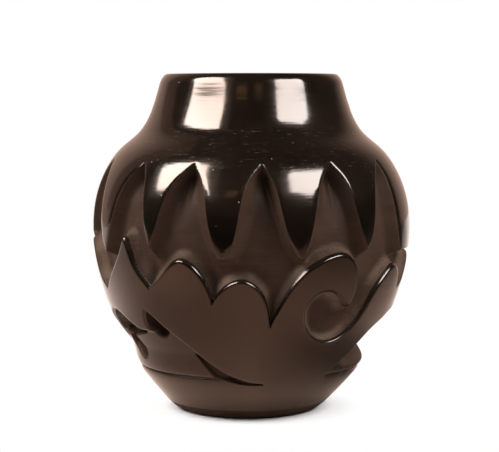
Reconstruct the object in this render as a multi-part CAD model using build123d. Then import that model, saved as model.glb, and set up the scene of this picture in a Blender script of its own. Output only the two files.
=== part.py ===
"""A hand-coiled blackware jar of the pueblo kind, deep carved and stone polished.

The potter presses a base pat into a shallow bowl, stacks coils of clay on it with sloping lap
joints, scrapes the wall even, lays a thin slip over the outside, and carves the pattern through
the slip into the wall. Each base pat, coil and field of slip is a solid of its own here.

Millimetres and degrees. The jar stands on z = 0 with its axis on Z. Angles of the pattern are
measured round the axis from the front, which faces -Y, and grow towards +X.
"""

import math
import os

from build123d import *

# Outside of the jar: rise of each station above the one below it, and its radius
FOOT_REST_RADIUS = 28.0
FOOT_ROLL_HEIGHT = 6.6
FOOT_ROLL_RADIUS = 38.0
FOOT_BAND_RISE = 13.4
FOOT_BAND_RADIUS = 49.3
HIP_RISE = 28.0
HIP_RADIUS = 63.6
BELLY_RISE = 33.5
BELLY_RADIUS = 69.9
SHOULDER_RISE = 22.0
SHOULDER_RADIUS = 64.8
COLLAR_RISE = 11.7
COLLAR_RADIUS = 56.5
THROAT_RISE = 6.2
THROAT_RADIUS = 49.3
NECK_RISE = 8.6
NECK_RADIUS = 44.1
LIP_RISE = 13.5
LIP_RADIUS = 39.9
LIP_CROWN = 3.5
LIP_LEAN = 0.28

# Clay and slip thickness, measured level
FLOOR_THICKNESS = 9.0
FLOOR_FLAT_RADIUS = 16.0
FOOT_WALL = 12.0
HIP_WALL = 12.5
WALL = 11.5
COLLAR_WALL = 10.8
THROAT_WALL = 9.0
NECK_WALL = 6.8
LIP_WALL = 5.6
SLIP = 0.4
SLIP_FOOT_HEIGHT = 4.0

# Coil courses above the base pat, from the bottom up, and the slope of their lap joints
BASE_PAT_HEIGHT = 24.0
COILS = [
    "lower_wall_coil",
    "hip_coil",
    "belly_coil",
    "upper_belly_coil",
    "shoulder_coil",
    "neck_coil",
    "rim_coil",
]
LAP_RISE = 3.0

# Carving: depth of the ground, and the ring of points that hangs from the shoulder
CARVE_DEPTH = 5.5
POINT_COUNT = 13
POINT_TURN = 4.2
POINT_APEX_RISE = 6.0
POINT_LENGTH = 34.5
POINT_TIP_WIDTH = 3.0
GOUGE_SLOPE = 0.9
GOUGE_WAIST = 0.5
GOUGE_WAIST_SHARE = 0.55
TIP_SLOPE_LENGTH = 6.0
POCKET_DEPTH = 3.0

# The water serpent: outline points as (degrees, mm above the foot band), one list per smooth stretch.
# The back is drawn twice round the jar, and a lobe fills what is left after each.
SECOND_BACK_TURN = 184.0
SERPENT_BACK = [
    [(-69.2, 36), (-63, 41.5), (-56.6, 47.9), (-52, 55.2), (-50, 59), (-46.5, 51.8), (-42.6, 43.7),
     (-39, 38.7)],
    [(-39, 38.7), (-33, 44.5), (-25, 51.3), (-18.5, 46.5), (-15.5, 39), (-14.3, 33.8)],
    [(-14.3, 33.8), (-10, 39.8), (-3, 43.3), (3, 39), (6, 31), (7.2, 24)],
    [(7.2, 24), (10.5, 32), (17, 44.5), (26, 51.6), (34.5, 52), (40.5, 45), (41.2, 36), (37.5, 29.8)],
    [(37.5, 29.8), (34.5, 35), (29, 38.3), (22.5, 35), (20.3, 28), (24, 19.5), (33, 16), (42, 20),
     (48, 28.5), (52.8, 38.4), (57.4, 43.5), (62.1, 46.4), (67.4, 44.1), (72, 36)],
]
# The lobe, as (share of its width, share of its rise)
LOBE_RISE = 18.0
LOBE = [
    (0, 0), (0.16, 0.2), (0.26, 0.52), (0.36, 0.85), (0.5, 1), (0.64, 0.85), (0.74, 0.52), (0.84, 0.2), (1, 0)
]

# The underside: the second head and tail stand further apart than the first, over a longer foot line
SECOND_HEAD_TURN = 147.3
SECOND_TAIL_TURN = 213.0
SERPENT_TONGUE = [(-45.3, 19.4), (-46, 23.5), (-44.5, 29)]
SERPENT_SWAG = [
    (-44.5, 29), (-36, 21.5), (-27, 14), (-17, 5.6), (-7, 0.4), (2, -1.6), (10, -3), (24, -4), (39, -3)
]
SERPENT_TAIL = [(39, -3), (46, 6), (55, 14.5), (68, 22)]
SERPENT_JAW = [(-70, 26.3), (-58, 22.4), (-50, 19.4), (-45.3, 19.4)]

# Room that cutting shapes take outside the jar
CLEAR = 9.0

# Heights of the stations above the table
FOOT_BAND = FOOT_ROLL_HEIGHT + FOOT_BAND_RISE
HIP = FOOT_BAND + HIP_RISE
BELLY = HIP + BELLY_RISE
SHOULDER = BELLY + SHOULDER_RISE
COLLAR = SHOULDER + COLLAR_RISE
THROAT = COLLAR + THROAT_RISE
NECK = THROAT + NECK_RISE
LIP = NECK + LIP_RISE
JAR_HEIGHT = LIP + LIP_CROWN
OUTSIDE = BELLY_RADIUS + CLEAR

# Stations of the wall as (radius, height, wall thickness there)
STATIONS = [
    (FOOT_BAND_RADIUS, FOOT_BAND, FOOT_WALL),
    (HIP_RADIUS, HIP, HIP_WALL),
    (BELLY_RADIUS, BELLY, WALL),
    (SHOULDER_RADIUS, SHOULDER, WALL),
    (COLLAR_RADIUS, COLLAR, COLLAR_WALL),
    (THROAT_RADIUS, THROAT, THROAT_WALL),
    (NECK_RADIUS, NECK, NECK_WALL),
    (LIP_RADIUS, LIP, LIP_WALL),
]
LIP_TANGENT = (-LIP_LEAN, 0, 1)


def section_point(radius, height):
    """A point of the section, which lies in the XZ plane."""
    return (radius, 0, height)


def section_line(*points):
    """Straight edges of the section through (radius, height) points."""
    corners = [section_point(*point) for point in points]
    return [Edge.make_line(a, b) for a, b in zip(corners, corners[1:])]


def wall_curve(inset, foot, tangent):
    """A smooth curve up the wall from the foot point, inset from the stations' radii."""
    points = [foot] + [(radius - inset(wall), height) for radius, height, wall in STATIONS]
    return Edge.make_spline(
        [section_point(*point) for point in points],
        tangents=[tangent, LIP_TANGENT],
    )


def outer_curve():
    """The outside of the slip, from the edge of the resting face to the lip."""
    points = [(FOOT_REST_RADIUS, 0), (FOOT_ROLL_RADIUS, FOOT_ROLL_HEIGHT)]
    points += [(radius, height) for radius, height, wall in STATIONS]
    return Edge.make_spline(
        [section_point(*point) for point in points],
        tangents=[(1, 0, 0), LIP_TANGENT],
    )


def share_at_height(curve, height):
    """The share of a rising curve's length at which it reaches a height."""
    low, high = 0.0, 1.0
    for _ in range(50):
        middle = (low + high) / 2
        if curve.position_at(middle).Z < height:
            low = middle
        else:
            high = middle
    return (low + high) / 2


def radius_at(curve, height):
    """The radius of a rising curve at a height."""
    return curve.position_at(share_at_height(curve, height)).X


def lip_curve(inset):
    """The rounded lip from its outer root to its inner root, inset by the slip or not at all."""
    return Edge.make_spline(
        [
            section_point(LIP_RADIUS - inset, LIP),
            section_point(LIP_RADIUS - LIP_WALL / 2, JAR_HEIGHT - inset),
            section_point(LIP_RADIUS - LIP_WALL + inset, LIP),
        ],
        tangents=[LIP_TANGENT, (LIP_LEAN, 0, -1)],
    )


def revolved(edges):
    """A solid of revolution round Z from the closed outline of a section."""
    return Solid.revolve(Face(Wire(edges)), 360, Axis.Z)


OUTER = outer_curve()
SLIP_FOOT_SHARE = share_at_height(OUTER, SLIP_FOOT_HEIGHT)
SLIP_FOOT_RADIUS = radius_at(OUTER, SLIP_FOOT_HEIGHT)
SLIP_BACK = wall_curve(
    lambda wall: SLIP,
    (SLIP_FOOT_RADIUS - SLIP, SLIP_FOOT_HEIGHT),
    OUTER % SLIP_FOOT_SHARE,
)
INNER = wall_curve(lambda wall: wall, (FLOOR_FLAT_RADIUS, FLOOR_THICKNESS), (1, 0, 0))
GROUND = wall_curve(
    lambda wall: CARVE_DEPTH,
    (FOOT_ROLL_RADIUS - CARVE_DEPTH, FOOT_ROLL_HEIGHT),
    OUTER % share_at_height(OUTER, FOOT_ROLL_HEIGHT),
)


def clay_blank():
    """The whole clay wall and floor under the slip, before carving."""
    edges = section_line((0, FLOOR_THICKNESS), (0, 0), (FOOT_REST_RADIUS, 0))
    edges.append(OUTER.trim(0, SLIP_FOOT_SHARE))
    edges += section_line((SLIP_FOOT_RADIUS, SLIP_FOOT_HEIGHT), (SLIP_FOOT_RADIUS - SLIP, SLIP_FOOT_HEIGHT))
    edges += [SLIP_BACK, lip_curve(SLIP)]
    edges += section_line((LIP_RADIUS - LIP_WALL + SLIP, LIP), (LIP_RADIUS - LIP_WALL, LIP))
    edges.append(INNER)
    edges += section_line((FLOOR_FLAT_RADIUS, FLOOR_THICKNESS), (0, FLOOR_THICKNESS))
    return revolved(edges)


def slip_blank():
    """The coat of slip from above the foot to just inside the lip, before carving."""
    edges = [OUTER.trim(SLIP_FOOT_SHARE, 1), lip_curve(0)]
    edges += section_line((LIP_RADIUS - LIP_WALL, LIP), (LIP_RADIUS - LIP_WALL + SLIP, LIP))
    edges += [lip_curve(SLIP), SLIP_BACK]
    edges += section_line((SLIP_FOOT_RADIUS - SLIP, SLIP_FOOT_HEIGHT), (SLIP_FOOT_RADIUS, SLIP_FOOT_HEIGHT))
    return revolved(edges)


def on_cylinder(degrees, height, radius):
    """A point at an angle from the front, on a cylinder about the axis."""
    angle = math.radians(degrees)
    return (radius * math.sin(angle), -radius * math.cos(angle), height)


def turned(stretch, degrees):
    """A stretch of outline moved on round the jar."""
    return [(angle + degrees, rise) for angle, rise in stretch]


def back_outline():
    """The serpents' backs with the lobes between them, once round the jar."""
    stretches = []
    for start, stop in ((0, SECOND_BACK_TURN), (SECOND_BACK_TURN, 360)):
        stretches += [turned(stretch, start) for stretch in SERPENT_BACK]
        left, foot = stretches[-1][-1]
        width = SERPENT_BACK[0][0][0] + stop - left
        stretches.append([(left + width * along, foot + LOBE_RISE * up) for along, up in LOBE])
    return stretches


def belly_outline():
    """The serpents' undersides, once round the jar. The swags dip under the foot band."""
    heads = (0, SECOND_HEAD_TURN, 360)
    tails = (0, SECOND_TAIL_TURN)
    stretches = []
    for head, tail, next_head in zip(heads, tails, heads[1:]):
        stretches += [turned(stretch, head) for stretch in (SERPENT_TONGUE, SERPENT_SWAG)]
        left, depth = stretches[-1][-1]
        right = SERPENT_TAIL[0][0] + tail
        if right > left:
            stretches.append([(left + (right - left) * share, depth) for share in (0, 0.5, 1)])
        stretches.append(turned(SERPENT_TAIL, tail) + turned(SERPENT_JAW, next_head))
    return stretches


def outline_ribbon(stretches):
    """A radial ribbon standing on an outline that runs once round the jar."""
    inside = FOOT_BAND_RADIUS - FOOT_WALL
    faces = []
    for stretch in stretches:
        steps = [math.dist(a, b) for a, b in zip(stretch, stretch[1:])]
        along = [sum(steps[:index]) for index in range(len(stretch))]
        sides = [
            Edge.make_spline(
                [on_cylinder(degrees, FOOT_BAND + rise, radius) for degrees, rise in stretch],
                parameters=along,
            )
            for radius in (inside, OUTSIDE + CLEAR)
        ]
        faces.append(Face.make_surface_from_curves(*sides))
    return Shell(faces)


def part_of(blank, ribbon, top):
    """The pieces of a ring that lie above the ribbon, or below it."""
    pieces = blank.split(ribbon, keep=Keep.ALL)
    pieces = sorted(pieces, key=lambda piece: piece.center().Z)
    return pieces[-1:] if top else pieces[:-1]


def gouge(turn):
    """One V-shaped gouge stroke, which opens the ground between two points."""
    apex = SHOULDER + POINT_APEX_RISE
    tip = apex - POINT_LENGTH
    half_pitch = math.pi / POINT_COUNT
    tip_half_width = radius_at(OUTER, tip) * math.sin(half_pitch) - POINT_TIP_WIDTH / 2
    waist = apex - POINT_LENGTH * GOUGE_WAIST
    foot = FOOT_BAND + CLEAR

    def valley(height, half_width):
        return (height, radius_at(OUTER, height) - half_width / GOUGE_SLOPE)

    below = valley(tip - TIP_SLOPE_LENGTH, tip_half_width + POINT_TIP_WIDTH / 2 + TIP_SLOPE_LENGTH)
    stations = [
        valley(apex, 0),
        valley(waist, tip_half_width * GOUGE_WAIST_SHARE),
        valley(tip, tip_half_width),
        below,
        (foot, below[1]),
    ]
    sections = []
    for height, radius in stations:
        half = (OUTSIDE - radius) * GOUGE_SLOPE
        corners = [(0, -radius, height), (half, -OUTSIDE, height), (-half, -OUTSIDE, height)]
        sections.append(Wire.make_polygon(corners, close=True))
    return Solid.make_loft(sections, ruled=True).rotate(Axis.Z, turn)


def upper_ground():
    """What is carved away between the ring of points and the serpent's back."""
    edges = [GROUND]
    edges += section_line(
        (LIP_RADIUS - CARVE_DEPTH, LIP),
        (OUTSIDE, LIP),
        (OUTSIDE, FOOT_ROLL_HEIGHT),
        (FOOT_ROLL_RADIUS - CARVE_DEPTH, FOOT_ROLL_HEIGHT),
    )
    above = part_of(revolved(edges), outline_ribbon(back_outline()), top=True)
    pitch = 360 / POINT_COUNT
    gouges = [gouge(POINT_TURN + index * pitch) for index in range(POINT_COUNT)]
    strokes = gouges[0].fuse(*gouges[1:])
    return above[0].intersect(strokes)


def belly_pockets():
    """What is carved away under the serpent, down to the foot band."""
    floor_middle = FOOT_BAND + HIP_RISE / 2
    floor_top = HIP + CLEAR
    floor = [(FOOT_BAND_RADIUS, FOOT_BAND)]
    floor += [(radius_at(OUTER, height) - POCKET_DEPTH, height) for height in (floor_middle, floor_top)]
    edges = [Edge.make_spline([section_point(*point) for point in floor])]
    edges += section_line(floor[-1], (OUTSIDE, floor_top), (OUTSIDE, FOOT_BAND), floor[0])
    return part_of(revolved(edges), outline_ribbon(belly_outline()), top=False)


def lap_joint(height):
    """The heights of a lap joint at the axis and far outside, from its height at the jar's outside."""
    root = radius_at(OUTER, height)
    slope = LAP_RISE / WALL
    return height + slope * root, height - slope * (OUTSIDE - root)


def course_zone(low, high):
    """The room between two lap joints, each given by its heights at the axis and far outside."""
    return revolved(
        section_line((0, low[0]), (OUTSIDE, low[1]), (OUTSIDE, high[1]), (0, high[0]), (0, low[0]))
    )


def coil_courses(clay):
    """The carved clay parted at its lap joints, as {name: solid} from the base pat up."""
    coil_height = (JAR_HEIGHT - BASE_PAT_HEIGHT) / len(COILS)
    joints = [lap_joint(BASE_PAT_HEIGHT + coil_height * index) for index in range(len(COILS))]
    below = (-CLEAR, -CLEAR)
    above = (JAR_HEIGHT + CLEAR, JAR_HEIGHT + CLEAR)
    courses = {}
    for name, low, high in zip(["base_pat"] + COILS, [below] + joints, joints + [above]):
        courses[name] = clay.intersect(course_zone(low, high)).solids()[0]
    return courses


def slip_fields(carves):
    """What the carving leaves of the slip: the serpents' field below, the neck and points above."""
    fields = slip_blank().cut(*carves).solids().sort_by(Axis.Z)
    return {"serpent_slip": fields[0], "shoulder_slip": fields[-1]}


def main():
    """Build every piece and write its file."""
    carves = list(upper_ground()) + belly_pockets()
    pieces = coil_courses(clay_blank().cut(*carves))
    pieces.update(slip_fields(carves))
    os.makedirs("parts", exist_ok=True)
    for name, solid in pieces.items():
        export_step(solid, os.path.join("parts", name + ".step"))
        print(name, round(solid.volume), solid.is_valid)


main()
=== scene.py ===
"""The looks of a hand-coiled, deep-carved and stone-polished blackware jar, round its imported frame.

The jar is dressed piece by piece, as the potter makes it: a base pat and seven coils of clay are
thrown as blanks, the pattern is carved into their outside, and two coats of polished slip lie on the
fields that the carving leaves standing. Sizes are in millimetres until a mesh is made, angles are in
degrees round the jar from the front, which faces -Y, and grow towards +X.
"""

import logging
import math
from dataclasses import dataclass, field
from enum import Enum
from typing import Any, Iterable, Optional, Union

import bpy
import numpy as np
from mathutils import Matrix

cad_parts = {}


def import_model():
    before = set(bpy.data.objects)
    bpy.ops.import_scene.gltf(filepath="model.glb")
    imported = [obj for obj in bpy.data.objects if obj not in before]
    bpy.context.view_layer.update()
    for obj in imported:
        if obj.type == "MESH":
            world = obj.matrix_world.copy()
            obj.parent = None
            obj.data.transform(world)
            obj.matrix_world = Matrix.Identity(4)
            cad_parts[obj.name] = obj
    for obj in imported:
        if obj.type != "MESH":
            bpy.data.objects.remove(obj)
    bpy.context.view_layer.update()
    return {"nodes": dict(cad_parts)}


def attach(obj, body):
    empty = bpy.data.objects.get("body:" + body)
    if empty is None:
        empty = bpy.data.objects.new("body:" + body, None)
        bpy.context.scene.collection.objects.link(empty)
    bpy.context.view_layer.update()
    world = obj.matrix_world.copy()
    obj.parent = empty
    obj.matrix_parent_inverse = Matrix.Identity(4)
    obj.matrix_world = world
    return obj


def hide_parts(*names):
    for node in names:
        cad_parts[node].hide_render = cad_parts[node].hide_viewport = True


LOG = logging.getLogger("jar")
MM = 0.001
CM3 = 1e-6
TINY = 1e-9
Colour = tuple[float, float, float]
Vector = tuple[float, float, float]
Point = tuple[float, float]
Span = tuple[float, float]
UP: Vector = (0.0, 0.0, 1.0)
WHITE: Colour = (1.0, 1.0, 1.0)


class Slot(str, Enum):
    """The record's material slots."""

    CLAY = "smoked_clay"
    SLIP = "polished_slip"


class Wire:
    """A node's output that Python's operators can work with."""

    def __init__(self, sheet: "NodeSheet", socket: bpy.types.NodeSocket) -> None:
        """Keep the sheet that the socket is on, so that an operator can add nodes to it."""
        self.sheet = sheet
        self.socket = socket

    def __add__(self, other: Any) -> "Wire":
        """Add a value."""
        return self.sheet.math("ADD", self, other)

    def __sub__(self, other: Any) -> "Wire":
        """Take a value away."""
        return self.sheet.math("SUBTRACT", self, other)

    def __mul__(self, other: Any) -> "Wire":
        """Multiply by a value."""
        return self.sheet.math("MULTIPLY", self, other)

    def __truediv__(self, other: Any) -> "Wire":
        """Divide by a value."""
        return self.sheet.math("DIVIDE", self, other)

    def __mod__(self, other: Any) -> "Wire":
        """The remainder of a division."""
        return self.sheet.math("FLOORED_MODULO", self, other)

    def __radd__(self, other: float) -> "Wire":
        """Add to a number."""
        return self.sheet.math("ADD", other, self)

    def __rsub__(self, other: float) -> "Wire":
        """Take away from a number."""
        return self.sheet.math("SUBTRACT", other, self)

    def __rmul__(self, other: float) -> "Wire":
        """Multiply a number."""
        return self.sheet.math("MULTIPLY", other, self)

    def __rtruediv__(self, other: float) -> "Wire":
        """Divide a number."""
        return self.sheet.math("DIVIDE", other, self)

    def __rmod__(self, other: float) -> "Wire":
        """The remainder of a number's division."""
        return self.sheet.math("FLOORED_MODULO", other, self)


class NodeSheet:
    """A node tree, for a finish, a sky or a thrown form, with one way to add any node."""

    def __init__(self, tree: bpy.types.NodeTree) -> None:
        """Start from an empty tree."""
        self.tree = tree
        self.tree.nodes.clear()

    def node(self, kind: str, settings: Optional[dict] = None, **inputs: Any) -> bpy.types.Node:
        """Add a node.

        Args:
            kind: the node's type.
            settings: attributes that are set before the sockets.
            inputs: values or wires by socket name, with underscores for spaces, or by identifier.

        Returns:
            The new node.
        """
        made = self.tree.nodes.new(kind)
        for name, value in (settings or {}).items():
            setattr(made, name, value)
        for name, value in inputs.items():
            self._feed(self._socket(made.inputs, name), value)
        return made

    def out(self, node: bpy.types.Node, name: Union[str, int] = 0) -> Wire:
        """The wire from a node's output.

        Args:
            node: the node.
            name: the output's name or number.

        Returns:
            The wire.
        """
        if isinstance(name, int):
            return Wire(self, node.outputs[name])
        return Wire(self, self._socket(node.outputs, name))

    def math(self, operation: str, *values: Any) -> Wire:
        """Add a Math node on one or two values."""
        return self.out(self._worked("ShaderNodeMath", operation, values))

    def vector(self, operation: str, *values: Any) -> Wire:
        """Add a Vector Math node whose result is a vector."""
        return self.out(self._worked("ShaderNodeVectorMath", operation, values))

    def measure(self, operation: str, *values: Any) -> Wire:
        """Add a Vector Math node whose result is a value."""
        return self.out(self._worked("ShaderNodeVectorMath", operation, values), "Value")

    def dot(self, a: Any, b: Any) -> Wire:
        """The dot product of two vectors, as a value."""
        return self.measure("DOT_PRODUCT", a, b)

    def scaled(self, vector: Wire, factor: Any) -> Wire:
        """A vector or a colour times a value."""
        made = self.node("ShaderNodeVectorMath", {"operation": "SCALE"}, Vector=vector, Scale=factor)
        return self.out(made)

    def ease(self, value: Wire, low: float, high: float) -> Wire:
        """A soft step from nought at low to one at high."""
        settings = {"interpolation_type": "SMOOTHSTEP"}
        return self.out(self.node("ShaderNodeMapRange", settings, Value=value, From_Min=low, From_Max=high))

    def blend(self, factor: Any, a: Any, b: Any) -> Wire:
        """Mix two colours."""
        made = self.node("ShaderNodeMix", {"data_type": "RGBA"}, Factor_Float=factor, A_Color=a, B_Color=b)
        return self.out(made, "Result_Color")

    def noise(self, at: Wire, scale: float, detail: float, rough: float = 0.5) -> Wire:
        """Soft noise as a value round one half."""
        made = self.node("ShaderNodeTexNoise", None, Vector=at, Scale=scale, Detail=detail, Roughness=rough)
        return self.out(made)

    def streaks(self, at: Wire, length: float, width: float, detail: float, rough: float = 0.5) -> Wire:
        """Noise that is drawn out level, to marks of a length and a width."""
        stretch = (1 / length, 1 / length, 1 / width)
        return self.noise(self.vector("MULTIPLY", at, stretch), 1.0, detail, rough)

    def millimetres(self) -> Wire:
        """Object coordinates in millimetres."""
        return self.scaled(self.out(self.node("ShaderNodeTexCoord"), "Object"), 1 / MM)

    def attribute(self, name: str) -> Wire:
        """The value of a point attribute."""
        return self.out(self.node("ShaderNodeAttribute", {"attribute_name": name}), "Fac")

    def bump(self, height: Wire, strength: float, depth_mm: float) -> Wire:
        """The normal of a surface with a fine relief."""
        made = self.node("ShaderNodeBump", None, Strength=strength, Distance=depth_mm * MM, Height=height)
        return self.out(made)

    def mixed(self, share: Wire, a: bpy.types.Node, b: bpy.types.Node) -> bpy.types.Node:
        """Mix two shaders.

        Args:
            share: the share of the second.
            a: the first shader.
            b: the second shader.

        Returns:
            The mixing node.
        """
        both = self.node("ShaderNodeMixShader", None, Fac=share)
        self.link(self.out(a), both.inputs[1])
        self.link(self.out(b), both.inputs[2])
        return both

    def surface(self, skin: bpy.types.Node) -> None:
        """Join a shader to the material's output."""
        self.node("ShaderNodeOutputMaterial", None, Surface=self.out(skin))

    def link(self, wire: Wire, socket: bpy.types.NodeSocket) -> None:
        """Join a wire to a socket."""
        self.tree.links.new(wire.socket, socket)

    def _worked(self, kind: str, operation: str, values: Iterable[Any]) -> bpy.types.Node:
        """Add a node that works on values.

        Args:
            kind: the node's type.
            operation: what it does.
            values: values or wires, in the order of its sockets.

        Returns:
            The new node.
        """
        made = self.node(kind, {"operation": operation})
        for socket, value in zip(made.inputs, values):
            self._feed(socket, value)
        return made

    def _feed(self, socket: bpy.types.NodeSocket, value: Any) -> None:
        """Give a socket a wire or a constant.

        Args:
            socket: the socket.
            value: what it gets; a colour may leave out its alpha.
        """
        if isinstance(value, Wire):
            self.link(value, socket)
        elif isinstance(value, tuple) and len(value) == 3 and socket.type == "RGBA":
            socket.default_value = (*value, 1.0)
        else:
            socket.default_value = value

    @staticmethod
    def _socket(sockets: Any, name: str) -> bpy.types.NodeSocket:
        """Find a socket.

        Args:
            sockets: a node's inputs or outputs.
            name: the identifier, or the name with underscores for spaces.

        Returns:
            The socket.
        """
        for socket in sockets:
            if socket.identifier == name:
                return socket
        return sockets[name.replace("_", " ")]


def new_finish(name: str) -> tuple[bpy.types.Material, NodeSheet]:
    """Start a finish.

    Args:
        name: the material's name.

    Returns:
        The new material, and the empty sheet of its nodes.
    """
    made = bpy.data.materials.new(name)
    made.use_nodes = True
    return made, NodeSheet(made.node_tree)


def stand(name: str, data: bpy.types.ID) -> bpy.types.Object:
    """Put a new object into the scene.

    Args:
        name: the object's name.
        data: its mesh, lamp or camera.

    Returns:
        The object.
    """
    made = bpy.data.objects.new(name, data)
    bpy.context.scene.collection.objects.link(made)
    return made


@dataclass(frozen=True)
class PolishedSlip:
    """Slip rubbed with a smooth stone and smoked black: dark, glossy, with the strokes just showing."""

    name: str = "polished_slip"
    dark: Colour = (0.0040, 0.0028, 0.0019)
    brown: Colour = (0.0078, 0.0054, 0.0037)
    brown_clouds: Span = (0.35, 0.7)
    cloud_mm: float = 24.0
    sheen_tint: Colour = (1.0, 0.72, 0.58)
    index: float = 1.55
    roughness: float = 0.11
    roughness_spread: float = 0.22
    stroke_matt: float = 0.8
    cloud_matt: float = 0.6
    stroke_length_mm: float = 26.0
    stroke_width_mm: float = 0.55
    sweep_width_mm: float = 2.75
    relief_mm: float = 0.020
    stroke_relief: float = 0.6
    sweep_relief: float = 2.5
    fleck: Colour = (0.55, 0.47, 0.40)
    fleck_cell_mm: float = 5.5
    fleck_chance: Span = (0.675, 0.75)
    fleck_radii_mm: Span = (0.12, 0.24)
    fleck_heights_mm: Span = (80.0, 94.0)
    fleck_matt: float = 0.4
    fleck_relief: float = 2.0
    scuff: Colour = (0.050, 0.034, 0.026)
    scuff_share: float = 0.6
    scuff_noise: Span = (0.58, 0.72)
    scuff_length_mm: float = 4.5
    scuff_width_mm: float = 0.4
    scuff_low_mm: Span = (103.0, 110.0)
    scuff_high_mm: Span = (122.0, 128.0)
    scuff_matt: float = 0.2
    worn: Colour = (0.020, 0.0135, 0.0095)
    worn_share: float = 0.25
    worn_matt: float = 0.15
    worn_least: float = 0.4

    def material(self) -> bpy.types.Material:
        """Build the finish.

        Returns:
            The material, which reads Object coordinates and the point attribute "worn".
        """
        made, sheet = new_finish(self.name)
        place = sheet.millimetres()
        level = sheet.dot(place, UP)
        strokes = sheet.streaks(place, self.stroke_length_mm, self.stroke_width_mm, detail=3.0, rough=0.6)
        sweeps = sheet.streaks(place, self.stroke_length_mm, self.sweep_width_mm, detail=2.0)
        clouds = sheet.noise(place, 1 / self.cloud_mm, detail=4.0)
        flecks = self._flecks(sheet, place, level)
        scuffs = self._scuffs(sheet, place, level)
        worn = sheet.attribute("worn")
        tone = sheet.blend(sheet.ease(clouds, *self.brown_clouds), self.dark, self.brown)
        tone = sheet.blend(flecks, tone, self.fleck)
        tone = sheet.blend(scuffs * self.scuff_share, tone, self.scuff)
        tone = sheet.blend(worn * self.worn_share, tone, self.worn)
        uneven = (strokes - 0.5) * self.stroke_matt + (clouds - 0.5) * self.cloud_matt
        matt = self.roughness + self.roughness_spread * uneven
        matt = matt + flecks * self.fleck_matt + scuffs * self.scuff_matt
        matt = matt + worn * self.worn_matt * (self.worn_least + clouds)
        height = strokes * self.stroke_relief + sweeps * self.sweep_relief - flecks * self.fleck_relief
        skin = sheet.node(
            "ShaderNodeBsdfPrincipled",
            None,
            Base_Color=tone,
            Roughness=matt,
            IOR=self.index,
            Specular_Tint=self.sheen_tint,
            Normal=sheet.bump(height, 1.0, self.relief_mm),
        )
        sheet.surface(skin)
        return made

    def _flecks(self, sheet: NodeSheet, place: Wire, level: Wire) -> Wire:
        """Where the small pale flecks in the slip lie.

        Args:
            sheet: the finish's nodes.
            place: the place on the jar, in mm.
            level: the height there, in mm.

        Returns:
            One on a fleck and nought elsewhere.
        """
        cells = sheet.node("ShaderNodeTexVoronoi", None, Vector=place, Scale=1 / self.fleck_cell_mm)
        parts = sheet.node("ShaderNodeSeparateColor", None, Color=sheet.out(cells, "Color"))
        rare = 1 - sheet.ease(sheet.out(parts, "Red"), *self.fleck_chance)
        reach = sheet.out(cells, "Distance") * self.fleck_cell_mm
        spot = 1 - sheet.ease(reach, *self.fleck_radii_mm)
        return rare * sheet.ease(level, *self.fleck_heights_mm) * spot

    def _scuffs(self, sheet: NodeSheet, place: Wire, level: Wire) -> Wire:
        """Where the shoulder is scuffed.

        Args:
            sheet: the finish's nodes.
            place: the place on the jar, in mm.
            level: the height there, in mm.

        Returns:
            One on a scuff and nought elsewhere.
        """
        rubs = sheet.streaks(place, self.scuff_length_mm, self.scuff_width_mm, detail=3.0, rough=0.7)
        above = sheet.ease(level, *self.scuff_low_mm)
        below = 1 - sheet.ease(level, *self.scuff_high_mm)
        return sheet.ease(rubs, *self.scuff_noise) * above * below


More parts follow.
